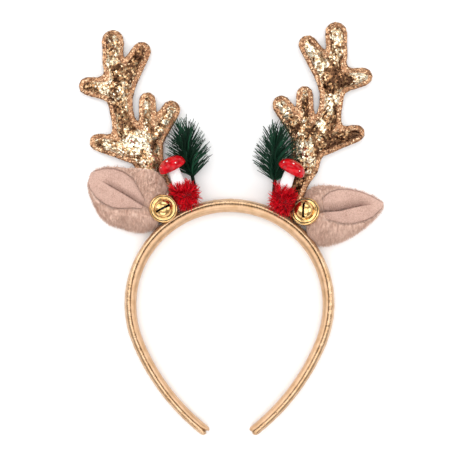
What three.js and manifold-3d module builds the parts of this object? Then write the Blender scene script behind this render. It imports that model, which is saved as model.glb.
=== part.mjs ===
// A reindeer headband lying on its back: a wrapped hoop that carries two padded glitter antlers and
// two plush ears, and on each side a jingle bell, a tinsel pompom, a toadstool and a sprig of pine.
// Millimetres. X runs across the head, Y from the hoop's tips to the antlers, Z up from the table to
// the front.

import * as THREE from 'three';
import { mergeVertices } from 'three/addons/utils/BufferGeometryUtils.js';
import Module from 'manifold-3d';

const wasm = await Module();
wasm.setup();

// Hoop: one arc over the crown and a flatter arc down each leg, measured on the middle of the band
const CROWN_RADIUS = 65;
const CROWN_SWEEP = 112;
const LEG_RADIUS = 141.7;
const LEG_SWEEP = 29.6;
const BAND_DEPTH = 12;
const OUTER_SWELL = 4.4;
const INNER_SWELL = 3.1;
const BAND_FLAT = 0.5;
const FULL_SWEEP = 20;
const TIP_SCALE = 0.78;
const TIP_ROUNDING = 3;
const CROWN_STEPS = 31;
const LEG_STEPS = 6;
const LINING_THICKNESS = 1;
const LINING_SPREAD = 46;

// Every piece stands this far from the next
const CLEARANCE = 0.35;
const SHORTEST_EDGE = 0.02;

// Antlers: one flat pattern, sewn round its rim and padded
const ANTLER_HEIGHT = 122;
const NOTCH_ROUNDING = 2.2;
const RIM_WIDTH = 2.2;
const RIM_THICKNESS = 1.8;
const PADDING_RISE = 0.55;
const PADDING_REACH = 8;
const BASE_FLATNESS = 0.55;
const RIM_STEP = 3.8;
const PADDING_STEP = 3.7;

// Ears: a padded plush leaf with a thin leaf of lining sewn on its front
const EAR_LENGTH = 51;
const EAR_HALF_WIDTH = 24;
const EAR_DEPTH = 15;
const EAR_LINING_THICKNESS = 1.2;
const EAR_LINING_FROM = 0.2;
const EAR_OPEN_WIDTH = 1.15;

// Jingle bells
const BELL_RADIUS = 8.4;
const BELL_WALL = 0.8;
const BELL_SEAT = 5.8;
const BELL_SLOT_LENGTH = 10.6;
const BELL_SLOT_WIDTH = 1.1;
const BELL_HOLE_RADIUS = 1;
const BELL_LOOP_RADIUS = 1.6;
const BELL_LOOP_WIRE = 0.5;
const PELLET_RADIUS = 2;

// Pompoms
const POMPOM_LENGTH = 23;
const POMPOM_WIDTH = 18;
const TINSEL_LENGTH = 5;
const TINSEL_WIDTH = 2.6;
const TINSEL_FLATNESS = 0.6;
const TINSEL_STRIPS = 40;

// Toadstools
const CAP_RADIUS = 9.2;
const CAP_HEIGHT = 7;
const CAP_LIP = 1;
const CAP_SINK = 1.6;
const CAP_TILT = 16;
const STALK_RADIUS = 4.1;
const STALK_LENGTH = 15.5;
const STALK_SEAT = 0.3;
const STALK_TAPER = 0.93;

// Pine sprigs
const SPRIG_LENGTH = 40;
const SPRIG_STEM_RADIUS = 1.3;
const NEEDLE_LENGTH = 17;
const NEEDLE_RADIUS = 0.62;
const NEEDLES = 44;
const NEEDLES_FROM = 0.2;
const NEEDLE_LIFT = 0.3;

// Colours and finishes
const FINISH = {
  band: { color: 0xd2a46c, roughness: 0.38, metalness: 0.8 },
  lining: { color: 0xcfa26d, roughness: 0.45, metalness: 0.7 },
  glitter: { color: 0xc79a63, roughness: 0.3, metalness: 0.9 },
  plush: { color: 0xb8978a, roughness: 0.95, metalness: 0 },
  suede: { color: 0xbd9a90, roughness: 0.9, metalness: 0 },
  brass: { color: 0xd8b565, roughness: 0.15, metalness: 1 },
  steel: { color: 0x9a9a98, roughness: 0.35, metalness: 1 },
  tinsel: { color: 0xc4061f, roughness: 0.3, metalness: 0.5 },
  redPaint: { color: 0xd0102a, roughness: 0.15, metalness: 0 },
  whiteFoam: { color: 0xf3f1ee, roughness: 0.8, metalness: 0 },
  pine: { color: 0x12351f, roughness: 0.5, metalness: 0 },
};

// The antler's pattern: where each stretch ends and how wide it is there, as shares of ANTLER_HEIGHT
const ANTLER_STOPS = {
  foot: { out: 0.006, up: -0.009, half: 0.048 },
  ankle: { out: 0.046, up: 0.143, half: 0.058 },
  trunk: { out: 0.102, up: 0.24, half: 0.07 },
  palm: { out: 0.13, up: 0.359, half: 0.084 },
  beam: { out: 0.243, up: 0.473, half: 0.06 },
  neck: { out: 0.264, up: 0.581, half: 0.056 },
  fork: { out: 0.273, up: 0.679, half: 0.068 },
  crownWaist: { out: 0.306, up: 0.83, half: 0.05 },
  crownTip: { out: 0.308, up: 0.946, half: 0.056 },
  innerTip: { out: 0.152, up: 0.892, half: 0.047 },
  outerTip: { out: 0.443, up: 0.702, half: 0.046 },
  middleRoot: { out: 0.119, up: 0.45, half: 0.043 },
  middleTip: { out: 0.122, up: 0.625, half: 0.042 },
  browRoot: { out: 0.075, up: 0.435, half: 0.048 },
  browTip: { out: -0.006, up: 0.575, half: 0.0475 },
  lowRoot: { out: 0.221, up: 0.365, half: 0.064 },
  lowTip: { out: 0.389, up: 0.4, half: 0.0435 },
};
const ANTLER_STRETCHES = [
  ['foot', 'ankle'], ['ankle', 'trunk'], ['trunk', 'palm'], ['palm', 'beam'], ['beam', 'neck'],
  ['neck', 'fork'], ['fork', 'crownWaist'], ['crownWaist', 'crownTip'], ['fork', 'innerTip'],
  ['fork', 'outerTip'], ['middleRoot', 'middleTip'], ['browRoot', 'browTip'], ['lowRoot', 'lowTip'],
  ['palm', 'lowRoot'],
];

// Ear sections from root to tip. along is a share of EAR_LENGTH, thick one of EAR_DEPTH, and the rest,
// measured across the ear, are shares of EAR_HALF_WIDTH: the outline's lower and upper edge, the edge
// of the lining on the fold, its crease and its edge along the brim. edge is the height of the upper
// edge as a share of the section's own.
const ROUND_EAR = [
  { along: -0.03, low: -0.74, fold: -0.3, crease: -0.24, brim: -0.18, up: 0.5, edge: 0.8, thick: 0.8 },
  { along: 0.1, low: -0.93, fold: -0.31, crease: -0.24, brim: -0.17, up: 0.74, edge: 0.8, thick: 0.94 },
  { along: 0.2, low: -1, fold: -0.32, crease: -0.22, brim: -0.05, up: 0.8, edge: 0.76, thick: 1 },
  { along: 0.3, low: -1.01, fold: -0.36, crease: -0.17, brim: 0.15, up: 0.79, edge: 0.68, thick: 1 },
  { along: 0.42, low: -1, fold: -0.45, crease: -0.1, brim: 0.4, up: 0.75, edge: 0.54, thick: 0.98 },
  { along: 0.56, low: -1, fold: -0.52, crease: -0.03, brim: 0.5, up: 0.66, edge: 0.36, thick: 0.92 },
  { along: 0.7, low: -0.86, fold: -0.48, crease: 0.04, brim: 0.52, up: 0.6, edge: 0.28, thick: 0.82 },
  { along: 0.82, low: -0.58, fold: -0.38, crease: 0.1, brim: 0.45, up: 0.51, edge: 0.25, thick: 0.68 },
  { along: 0.92, low: -0.3, fold: -0.2, crease: 0.1, brim: 0.33, up: 0.38, edge: 0.25, thick: 0.52 },
  { along: 0.98, low: -0.08, fold: -0.02, crease: 0.1, brim: 0.22, up: 0.25, edge: 0.25, thick: 0.36 },
];
const POINTED_EAR = [
  { along: -0.03, low: -0.84, fold: -0.06, crease: 0, brim: 0.06, up: 0.62, edge: 0.3, thick: 0.8 },
  { along: 0.1, low: -0.92, fold: -0.1, crease: 0.02, brim: 0.14, up: 0.78, edge: 0.3, thick: 0.94 },
  { along: 0.2, low: -0.93, fold: -0.18, crease: 0.02, brim: 0.41, up: 0.79, edge: 0.3, thick: 1 },
  { along: 0.3, low: -0.9, fold: -0.27, crease: 0.01, brim: 0.54, up: 0.75, edge: 0.3, thick: 1 },
  { along: 0.42, low: -0.83, fold: -0.37, crease: 0, brim: 0.59, up: 0.69, edge: 0.3, thick: 0.96 },
  { along: 0.56, low: -0.71, fold: -0.4, crease: 0.04, brim: 0.55, up: 0.6, edge: 0.3, thick: 0.88 },
  { along: 0.7, low: -0.52, fold: -0.36, crease: 0.07, brim: 0.45, up: 0.49, edge: 0.3, thick: 0.76 },
  { along: 0.82, low: -0.34, fold: -0.27, crease: 0.07, brim: 0.32, up: 0.36, edge: 0.3, thick: 0.62 },
  { along: 0.92, low: -0.17, fold: -0.12, crease: 0.05, brim: 0.17, up: 0.21, edge: 0.3, thick: 0.46 },
  { along: 0.98, low: -0.05, fold: -0.01, crease: 0.04, brim: 0.09, up: 0.12, edge: 0.3, thick: 0.32 },
];

// The slotted half of a bell, from its rim over a step to its dome, as shares of BELL_RADIUS from the
// bell's middle
const BELL_FRONT = [
  { out: 1.09, up: -0.06 },
  { out: 1.09, up: 0.1 },
  { out: 0.97, up: 0.19 },
  { out: 0.93, up: 0.4 },
  { out: 0.78, up: 0.5 },
  { out: 0.74, up: 0.62 },
  { out: 0.6, up: 0.8 },
  { out: 0.32, up: 0.94 },
  { out: 0, up: 0.98 },
];

// What differs between the two sides. Angles along the hoop are degrees from the crown, leans are
// degrees from upright towards the outside, and turns are degrees round Z. An off is the distance out
// from the band, as a share of the piece's own height, length, radius or width. An up and an at are
// shares of the pompom's width and length from its middle, to the front and to the outside.
const SIDES = [
  {
    name: 'left', out: -1, antlerAngle: 34.2, antlerOff: 0, antlerLean: 0,
    ear: ROUND_EAR, earAngle: 33.9, earOff: 0.2157, earRise: 16.8,
    bellAngle: 34.3, bellOff: 0.786, bellTilt: 0, bellTurn: 27,
    pompomAngle: 22.5, pompomOff: 0.422,
    stalkAt: 0.01, stalkLean: 20, capLean: 7, toadstoolUp: 0.25,
    sprigAt: -0.33, sprigLean: 10, sprigUp: -0.22, sprigPitch: 2,
  },
  {
    name: 'right', out: 1, antlerAngle: 32.3, antlerOff: 0.0213, antlerLean: -3,
    ear: POINTED_EAR, earAngle: 41.3, earOff: 0.1745, earRise: 7,
    bellAngle: 39, bellOff: 1.06, bellTilt: 20, bellTurn: 86,
    pompomAngle: 28.7, pompomOff: 0.378,
    stalkAt: -0.22, stalkLean: 20, capLean: 9, toadstoolUp: 0.305,
    sprigAt: -0.38, sprigLean: 3, sprigUp: -0.055, sprigPitch: 2,
  },
];

const radians = THREE.MathUtils.degToRad;
const mix = THREE.MathUtils.lerp;
const UPRIGHT = new THREE.Vector3(0, 1, 0);

// Solids for cutting and joining

function toSolid(geometry) {
  const bare = new THREE.BufferGeometry();
  bare.setAttribute('position', geometry.getAttribute('position').clone());
  bare.setIndex(geometry.index);
  const merged = mergeVertices(bare, 1e-4);
  const vertProperties = new Float32Array(merged.getAttribute('position').array);
  const triVerts = new Uint32Array(merged.index.array);
  const solid = new wasm.Manifold(new wasm.Mesh({ numProp: 3, vertProperties, triVerts }));
  return solid;
}

// Gives a solid's surface, with the edges shorter than SHORTEST_EDGE that its cuts left drawn together
function toGeometry(solid) {
  const mesh = solid.getMesh();
  const geometry = new THREE.BufferGeometry();
  geometry.setAttribute('position', new THREE.BufferAttribute(mesh.vertProperties, 3));
  geometry.setIndex(new THREE.BufferAttribute(mesh.triVerts, 1));
  const merged = mergeVertices(geometry, SHORTEST_EDGE);
  const corners = merged.index.array;
  const index = [];
  for (let i = 0; i < corners.length; i += 3) {
    const triangle = [...corners.slice(i, i + 3)];
    if (new Set(triangle).size === 3) index.push(...triangle);
  }
  merged.setIndex(index);
  merged.computeVertexNormals();
  return merged;
}

const moved = (solid, matrix) => solid.transform(matrix.elements);

const placed = (geometry, matrix) => moved(toSolid(geometry), matrix);

const joined = (solids) => solids.reduce((whole, solid) => whole.add(solid));

// The largest of the separate bodies that a cut can leave
const largest = (solid) => solid.decompose().reduce((a, b) => (a.volume() > b.volume() ? a : b));

// A closed skin through rings of equally many points, each end closed with a fan
function loft(rings) {
  const sides = rings[0].length;
  const points = rings.flat();
  const index = [];
  for (let r = 0; r + 1 < rings.length; r++) {
    for (let s = 0; s < sides; s++) {
      const near = r * sides + s;
      const next = r * sides + ((s + 1) % sides);
      index.push(near, next, next + sides, near, next + sides, near + sides);
    }
  }
  for (const [ring, first, turn] of [[rings[0], 0, -1], [rings.at(-1), (rings.length - 1) * sides, 1]]) {
    const middle = ring.reduce((sum, p) => sum.add(p), new THREE.Vector3()).divideScalar(sides);
    points.push(middle);
    for (let s = 0; s < sides; s++) {
      const edge = [first + s, first + ((s + 1) % sides)];
      index.push(points.length - 1, ...(turn > 0 ? edge : edge.reverse()));
    }
  }
  const geometry = new THREE.BufferGeometry().setFromPoints(points);
  geometry.setIndex(index);
  return facingOut(geometry);
}

// Turns every face round if the skin encloses a negative volume
function facingOut(geometry) {
  const position = geometry.getAttribute('position');
  const [a, b, c] = [new THREE.Vector3(), new THREE.Vector3(), new THREE.Vector3()];
  const index = geometry.index.array;
  let volume = 0;
  for (let i = 0; i < index.length; i += 3) {
    a.fromBufferAttribute(position, index[i]);
    b.fromBufferAttribute(position, index[i + 1]);
    c.fromBufferAttribute(position, index[i + 2]);
    volume += a.dot(b.cross(c));
  }
  if (volume < 0) {
    geometry.setIndex(Array.from(index).reverse());
  }
  geometry.computeVertexNormals();
  return geometry;
}

// Hoop

const outwards = (angle) => new THREE.Vector2(Math.sin(radians(angle)), Math.cos(radians(angle)));

// A point of the band's middle line. The angle is the one its outward normal makes with the crown's.
function hoopPoint(angle) {
  if (Math.abs(angle) <= CROWN_SWEEP) {
    return outwards(angle).multiplyScalar(CROWN_RADIUS);
  }
  const legCentre = outwards(Math.sign(angle) * CROWN_SWEEP).multiplyScalar(CROWN_RADIUS - LEG_RADIUS);
  return outwards(angle).multiplyScalar(LEG_RADIUS).add(legCentre);
}

// Angles from tip to tip. The crown's steps are odd in number, so that one flat facet straddles its
// top.
function hoopAngles(trimmed = 0) {
  const end = LEG_SWEEP - THREE.MathUtils.radToDeg(trimmed / LEG_RADIUS);
  const legs = Array.from({ length: LEG_STEPS }, (_, i) => CROWN_SWEEP + (end * (i + 1)) / LEG_STEPS);
  const crown = Array.from(
    { length: CROWN_STEPS + 1 }, (_, i) => mix(-CROWN_SWEEP, CROWN_SWEEP, i / CROWN_STEPS));
  return [...legs.map((angle) => -angle).reverse(), ...crown, ...legs];
}

// The band is full size over the top of the crown and narrows from there to its tips
function bandScale(angle) {
  const narrowing = Math.max(0, Math.abs(angle) - FULL_SWEEP) / (CROWN_SWEEP + LEG_SWEEP - FULL_SWEEP);
  return mix(1, TIP_SCALE, narrowing);
}

// A section drawn as x outwards and y up from the table, set across the hoop
const acrossHoop = (angle, section, scale = bandScale(angle)) => section.map(({ x, y }) => {
  const flat = hoopPoint(angle).addScaledVector(outwards(angle), x * scale);
  return new THREE.Vector3(flat.x, flat.y, y * scale);
});

// Part of half an oval across the band, from one turn to another, which run from -90 at the table to
// 90 at the front. swell is positive outwards and negative towards the head.
function halfOval(swell, from, to, steps, grow = 0) {
  return Array.from({ length: steps + 1 }, (_, i) => {
    const turn = radians(mix(from, to, i / steps));
    const out = (Math.abs(swell) + grow) * Math.cos(turn);
    const up = BAND_DEPTH / 2 - BAND_FLAT + (BAND_DEPTH / 2 + grow) * Math.sin(turn);
    return new THREE.Vector2(Math.sign(swell) * out, up);
  });
}

// The wrapped and padded band, flat where it rests and rounded at its tips. grow makes the same shape
// larger all round, to clear its neighbours.
function bandCover(grow = 0) {
  const restTurn = -THREE.MathUtils.radToDeg(Math.asin(1 - (2 * BAND_FLAT) / BAND_DEPTH));
  const outer = halfOval(OUTER_SWELL, restTurn, 90, 6, grow);
  const inner = halfOval(-INNER_SWELL, restTurn, 90, 6, grow).slice(0, -1).reverse();
  const section = [...outer, ...inner];
  const middle = new THREE.Vector2(0, BAND_DEPTH / 2);
  const rings = hoopAngles().map((angle) => acrossHoop(angle, section));
  for (const turn of [40, 75]) {
    const beyond = THREE.MathUtils.radToDeg((TIP_ROUNDING * Math.sin(radians(turn))) / LEG_RADIUS);
    const share = mix(0.5, 1, Math.cos(radians(turn)));
    const round = section.map((p) => p.clone().sub(middle).multiplyScalar(share).add(middle));
    for (const end of [-1, 1]) {
      const ring = acrossHoop(end * (CROWN_SWEEP + LEG_SWEEP + beyond), round, TIP_SCALE);
      if (end > 0) rings.push(ring);
      else rings.unshift(ring);
    }
  }
  return toSolid(loft(rings));
}

// The strip that lines the side against the head
function bandLining() {
  const near = halfOval(-INNER_SWELL, -LINING_SPREAD, LINING_SPREAD, 3, CLEARANCE);
  const far = halfOval(-INNER_SWELL, -LINING_SPREAD, LINING_SPREAD, 3, CLEARANCE + LINING_THICKNESS);
  const section = [...near, ...far.reverse()];
  return loft(hoopAngles(TIP_ROUNDING).map((angle) => acrossHoop(angle, section)));
}

// A place above the table, out from the band's outer side
function besideBand(side, angle, off, up = 0) {
  const flat = outwards(angle).multiplyScalar(CROWN_RADIUS + OUTER_SWELL + off);
  return new THREE.Vector3(side.out * flat.x, flat.y, up);
}

// Antlers

const ANTLER_TAPERS = ANTLER_STRETCHES.map((ends) => ends.map((name) => {
  const stop = ANTLER_STOPS[name];
  const at = new THREE.Vector2(stop.out, stop.up).multiplyScalar(ANTLER_HEIGHT);
  return { at, half: stop.half * ANTLER_HEIGHT };
}));

// How far a point lies inside the pattern's edge, with the notches between tines rounded
function insideAntler(point) {
  let least = -Infinity;
  for (const [from, to] of ANTLER_TAPERS) {
    const run = to.at.clone().sub(from.at);
    const share = THREE.MathUtils.clamp(point.clone().sub(from.at).dot(run) / run.lengthSq(), 0, 1);
    const nearest = from.at.clone().addScaledVector(run, share);
    const inside = mix(from.half, to.half, share) - point.distanceTo(nearest);
    const blend = Math.max(0, 1 - Math.abs(inside - least) / NOTCH_ROUNDING);
    least = Math.max(inside, least) + (blend * blend * NOTCH_ROUNDING) / 4;
  }
  return least;
}

// Cuts a square grid along the line where depth is zero. Gives the points inside it with their depths,
// the triangles between them and, in order, the points on the line.
function cutGrid(depth, step) {
  const low = new THREE.Vector2(-0.15, -0.15).multiplyScalar(ANTLER_HEIGHT);
  const columns = Math.ceil((0.75 * ANTLER_HEIGHT) / step);
  const rows = Math.ceil((1.25 * ANTLER_HEIGHT) / step);
  const corner = ([i, j]) => new THREE.Vector2(low.x + i * step, low.y + j * step);
  const depths = new Map();
  const depthAt = (cell) => {
    if (!depths.has(`${cell}`)) depths.set(`${cell}`, depth(corner(cell)));
    return depths.get(`${cell}`);
  };
  const points = [];
  const numbers = new Map();
  const numberOf = (key, at, inside) => {
    if (!numbers.has(key)) {
      numbers.set(key, points.length);
      points.push({ at, inside });
    }
    return numbers.get(key);
  };
  const crossing = (inner, outer) => {
    const share = depthAt(inner) / (depthAt(inner) - depthAt(outer));
    return numberOf(`${inner}>${outer}`, corner(inner).lerp(corner(outer), share), 0);
  };
  const triangles = [];
  const following = new Map();
  for (let j = 0; j < rows; j++) {
    for (let i = 0; i < columns; i++) {
      const cell = [[i, j], [i + 1, j], [i + 1, j + 1], [i, j + 1]];
      const polygon = [];
      const cuts = [];
      cell.forEach((here, k) => {
        const there = cell[(k + 1) % 4];
        const [isIn, nextIn] = [depthAt(here) > 0, depthAt(there) > 0];
        if (isIn) polygon.push(numberOf(`${here}`, corner(here), depthAt(here)));
        if (isIn !== nextIn) {
          const cut = isIn ? crossing(here, there) : crossing(there, here);
          polygon.push(cut);
          cuts.push({ cut, leaves: isIn });
        }
      });
      cuts.forEach(({ cut, leaves }, k) => {
        if (leaves) following.set(cut, cuts[(k + 1) % cuts.length].cut);
      });
      for (let k = 1; k + 1 < polygon.length; k++) triangles.push([polygon[0], polygon[k], polygon[k + 1]]);
    }
  }
  const edge = [following.keys().next().value];
  while (following.get(edge.at(-1)) !== edge[0]) edge.push(following.get(edge.at(-1)));
  return { points, triangles, edge: edge.map((n) => points[n].at) };
}

// The stitched rim: the whole pattern as one flat sheet
function antlerRim(grow) {
  const traced = cutGrid((p) => insideAntler(p) + grow, RIM_STEP * 0.8).edge;
  const curve = new THREE.CatmullRomCurve3(traced.map((p) => new THREE.Vector3(p.x, p.y, 0)), true);
  const even = curve.getSpacedPoints(Math.round(curve.getLength() / RIM_STEP)).slice(0, -1);
  const outline = new THREE.Shape(even.map((p) => new THREE.Vector2(p.x, p.y)));
  const depth = RIM_THICKNESS + 2 * grow;
  const sheet = new THREE.ExtrudeGeometry(outline, { depth, bevelEnabled: false });
  return toSolid(sheet.translate(0, 0, -depth / 2));
}

// Half the padding's thickness, which is pressed thinner towards the antler's foot
function paddingRise(inside, up) {
  const reach = Math.min(inside, PADDING_REACH);
  const share = mix(BASE_FLATNESS, 1, THREE.MathUtils.smoothstep(up, 0, ANTLER_HEIGHT * 0.3));
  return PADDING_RISE * share * Math.sqrt(reach * (2 * PADDING_REACH - reach));
}

// The padding inside the seam, swelling to both sides
function antlerPadding(grow) {
  const { points, triangles } = cutGrid((p) => insideAntler(p) - RIM_WIDTH + grow, PADDING_STEP);
  const skin = [];
  const index = [];
  const numbers = points.map(({ at, inside }) => [1, -1].map((face) => {
    if (inside === 0 && face < 0) return skin.length - 1;
    const up = inside === 0 ? 0 : face * (paddingRise(inside, at.y) + grow);
    skin.push(new THREE.Vector3(at.x, at.y, up));
    return skin.length - 1;
  }));
  for (const [a, b, c] of triangles) {
    index.push(numbers[a][0], numbers[b][0], numbers[c][0], numbers[a][1], numbers[c][1], numbers[b][1]);
  }
  const geometry = new THREE.BufferGeometry().setFromPoints(skin);
  geometry.setIndex(index);
  return toSolid(geometry);
}

function antlerPlace(side) {
  const frame = new THREE.Matrix4().makeScale(side.out, 1, 1);
  const lean = new THREE.Matrix4().makeRotationZ(radians(-side.out * side.antlerLean));
  const up = PADDING_RISE * PADDING_REACH;
  const at = besideBand(side, side.antlerAngle, side.antlerOff * ANTLER_HEIGHT, up);
  return new THREE.Matrix4().setPosition(at).multiply(lean).multiply(frame);
}

const antlerWhole = (side, grow = 0) => moved(antlerRim(grow).add(antlerPadding(grow)), antlerPlace(side));

// Ears

// The front of a section across its opening, from the upper edge of the lining down to the crease and
// up to the crest of the fold. The valley is shallow where the ear is pinched.
function earOpening(row) {
  const open = Math.min(1, (row.brim - row.fold) / EAR_OPEN_WIDTH);
  const high = EAR_DEPTH * row.thick;
  return [
    [row.brim * EAR_HALF_WIDTH, high * mix(0.85, 0.46, open)],
    [row.crease * EAR_HALF_WIDTH, high * mix(0.8, 0.3, open)],
    [row.fold * EAR_HALF_WIDTH, high * mix(0.9, 0.86, open)],
  ];
}

// One section of an ear from its lower edge round its back to its upper edge, and then across its front
function earRing(row, grow) {
  const opening = earOpening(row);
  const high = EAR_DEPTH * row.thick;
  const low = row.low * EAR_HALF_WIDTH - grow;
  const up = row.up * EAR_HALF_WIDTH + grow;
  return [
    [low, high * 0.36],
    [mix(low, up, 0.07), high * 0.1],
    [mix(low, up, 0.2), -grow],
    [mix(low, up, 0.8), -grow],
    [mix(low, up, 0.94), high * row.edge * 0.3],
    [up, high * row.edge + grow],
    [mix(up, opening[0][0], 0.6), Math.max(opening[0][1] * 0.95, high * row.edge) + grow],
    ...opening.map(([across, height]) => [across, height + grow]),
    [mix(opening[2][0], low, 0.25), high + grow],
    [mix(opening[2][0], low, 0.65), high * 0.86 + grow],
  ];
}

// A section of the lining. With a clearance it is the room that the lining takes, open upwards.
function earLiningRing(row, clearance) {
  const face = earOpening(row);
  face[0][0] += clearance;
  face[2][0] -= clearance;
  const back = face.map(([across, height]) => [across, height - EAR_LINING_THICKNESS - 1.7 * clearance]);
  return [...face.map(([across, height]) => [across, height + 6 * clearance]), ...back.reverse()];
}

const earLoft = (rows, ring) => loft(rows.map((row) => ring(row).map(
  ([across, height]) => new THREE.Vector3(row.along * EAR_LENGTH, across, height))));

function earPlace(side) {
  const frame = new THREE.Matrix4().makeScale(side.out, 1, 1);
  const rise = new THREE.Matrix4().makeRotationZ(radians(side.out * side.earRise));
  const at = besideBand(side, side.earAngle, side.earOff * EAR_LENGTH);
  return new THREE.Matrix4().setPosition(at).multiply(rise).multiply(frame);
}

const earWhole = (side, grow = 0) => placed(earLoft(side.ear, (row) => earRing(row, grow)), earPlace(side));

function earLining(side, clearance = 0) {
  const rows = side.ear.filter((row) => row.along >= EAR_LINING_FROM);
  return placed(earLoft(rows, (row) => earLiningRing(row, clearance)), earPlace(side));
}

// Jingle bells

// Half a section of the bell's wall from the loop behind it to the slotted front, set in by its
// thickness or out
function bellProfile(inset) {
  const back = Array.from({ length: 4 }, (_, i) => {
    const turn = radians(mix(0, 78, i / 3));
    return new THREE.Vector2(Math.sin(turn), -Math.cos(turn)).multiplyScalar(BELL_RADIUS - inset);
  });
  const front = BELL_FRONT.map(({ out, up }) => new THREE.Vector2(
    Math.max(0, out * BELL_RADIUS - inset), up * BELL_RADIUS - inset));
  return [...back, ...front];
}

function bellShell() {
  const outside = toSolid(new THREE.LatheGeometry(bellProfile(0), 16).rotateX(Math.PI / 2));
  const hollow = toSolid(new THREE.LatheGeometry(bellProfile(BELL_WALL), 12).rotateX(Math.PI / 2));
  const high = BELL_RADIUS;
  const slot = new THREE.BoxGeometry(BELL_SLOT_LENGTH, BELL_SLOT_WIDTH, high).translate(0, 0, high);
  const holes = [-1, 1].map((end) => new THREE.CylinderGeometry(BELL_HOLE_RADIUS, BELL_HOLE_RADIUS, high, 8)
    .rotateX(Math.PI / 2).translate((end * BELL_SLOT_LENGTH) / 2, 0, high));
  const loop = new THREE.TorusGeometry(BELL_LOOP_RADIUS, BELL_LOOP_WIRE, 4, 8).rotateX(Math.PI / 2)
    .translate(0, 0, -BELL_RADIUS - BELL_LOOP_RADIUS * 0.6);
  return outside.add(toSolid(loop)).subtract(hollow).subtract(joined([slot, ...holes].map(toSolid)));
}

function bellPlace(side) {
  const turn = new THREE.Matrix4().makeRotationZ(radians(side.bellTurn));
  const hinge = new THREE.Vector3(1, 1, 0).normalize();
  const tilt = new THREE.Matrix4().makeRotationAxis(hinge, radians(-side.bellTilt));
  const at = besideBand(side, side.bellAngle, side.bellOff * BELL_RADIUS, BELL_SEAT + BELL_RADIUS);
  return new THREE.Matrix4().setPosition(at).multiply(tilt).multiply(turn);
}

// How far below a bell's middle its pellet lies
const PELLET_DROP = BELL_RADIUS - BELL_WALL - PELLET_RADIUS - CLEARANCE;

// The room that a bell takes, with its loop below and nothing over it
function bellRoom(side) {
  const round = new THREE.SphereGeometry(BELL_RADIUS * BELL_FRONT[0].out + CLEARANCE, 16, 10);
  const over = new THREE.CylinderGeometry(BELL_RADIUS, BELL_RADIUS, BELL_RADIUS * 2, 16)
    .rotateX(Math.PI / 2).translate(0, 0, BELL_RADIUS);
  const reach = BELL_LOOP_RADIUS + BELL_LOOP_WIRE + CLEARANCE;
  const under = new THREE.CylinderGeometry(reach, reach, reach * 2, 10).rotateX(Math.PI / 2)
    .translate(0, 0, -BELL_RADIUS - BELL_LOOP_RADIUS * 0.6);
  return joined([round, over, under].map((shape) => placed(shape, bellPlace(side))));
}

// Pompoms

// Directions spread evenly over a ball
const spread = (count) => Array.from({ length: count }, (_, i) => {
  const height = 1 - (2 * i + 1) / count;
  const turn = i * Math.PI * (3 - Math.sqrt(5));
  const across = Math.sqrt(1 - height * height);
  return new THREE.Vector3(across * Math.cos(turn), height, across * Math.sin(turn));
});

// A place on the pompom, which sits on the band's front edge: along it to the outside as a share of
// its length, and up and out from the band as shares of its width
function onPompom(side, along, up, out = 0) {
  const off = (side.pompomOff + out) * POMPOM_WIDTH;
  const at = besideBand(side, side.pompomAngle, off, BAND_DEPTH + up * POMPOM_WIDTH);
  const tangent = outwards(side.pompomAngle + 90).multiplyScalar(along * POMPOM_LENGTH);
  return at.add(new THREE.Vector3(side.out * tangent.x, tangent.y, 0));
}

// A ball of tinsel, longest along the band: short strips that stand out from a heart
function pompomWhole(side) {
  const half = new THREE.Vector3(POMPOM_LENGTH, POMPOM_WIDTH, POMPOM_WIDTH).divideScalar(2);
  const heart = half.clone().subScalar(TINSEL_LENGTH * 0.5);
  const ball = new THREE.IcosahedronGeometry(1, 1).scale(...heart);
  const strips = spread(TINSEL_STRIPS).map((direction) => {
    const tip = direction.clone().multiply(half);
    const length = TINSEL_LENGTH * 1.3;
    const strip = new THREE.ConeGeometry(TINSEL_WIDTH, length, 3).scale(1, 1, TINSEL_FLATNESS);
    strip.translate(0, -length / 2, 0);
    const aim = new THREE.Quaternion().setFromUnitVectors(UPRIGHT, tip.clone().normalize());
    return placed(strip, new THREE.Matrix4().compose(tip, aim, new THREE.Vector3(1, 1, 1)));
  });
  const turn = new THREE.Matrix4().makeRotationZ(radians(-side.out * side.pompomAngle));
  const place = new THREE.Matrix4().setPosition(onPompom(side, 0, 0)).multiply(turn);
  return moved(joined([toSolid(ball), ...strips]), place);
}

// Toadstools, which lie with their stalks along Y

function stalkPlace(side) {
  const lean = new THREE.Matrix4().makeRotationZ(radians(-side.out * side.stalkLean));
  const foot = onPompom(side, side.stalkAt, side.toadstoolUp, STALK_SEAT);
  return new THREE.Matrix4().setPosition(foot).multiply(lean);
}

function stalkWhole(side, grow = 0) {
  const foot = STALK_RADIUS + grow;
  const stalk = new THREE.CylinderGeometry(foot * STALK_TAPER, foot, STALK_LENGTH + 2 * grow, 12);
  return placed(stalk.translate(0, STALK_LENGTH / 2, 0), stalkPlace(side));
}

// The cap's section: a dome over a hollow underside, closed on the axis
function capProfile(grow) {
  const dome = Array.from({ length: 6 }, (_, i) => {
    const turn = radians(mix(0, 90, i / 5));
    const rise = (CAP_HEIGHT - CAP_LIP + grow) * Math.sin(turn);
    return new THREE.Vector2((CAP_RADIUS + grow) * Math.cos(turn), CAP_LIP + rise);
  });
  dome[5].x = 0;
  return [
    new THREE.Vector2(0, CAP_LIP - grow),
    new THREE.Vector2((CAP_RADIUS - CAP_LIP) * 0.55, CAP_LIP - grow),
    new THREE.Vector2(CAP_RADIUS - CAP_LIP, -grow),
    new THREE.Vector2(CAP_RADIUS + grow, CAP_LIP * 0.3 - grow),
    ...dome,
  ];
}

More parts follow.
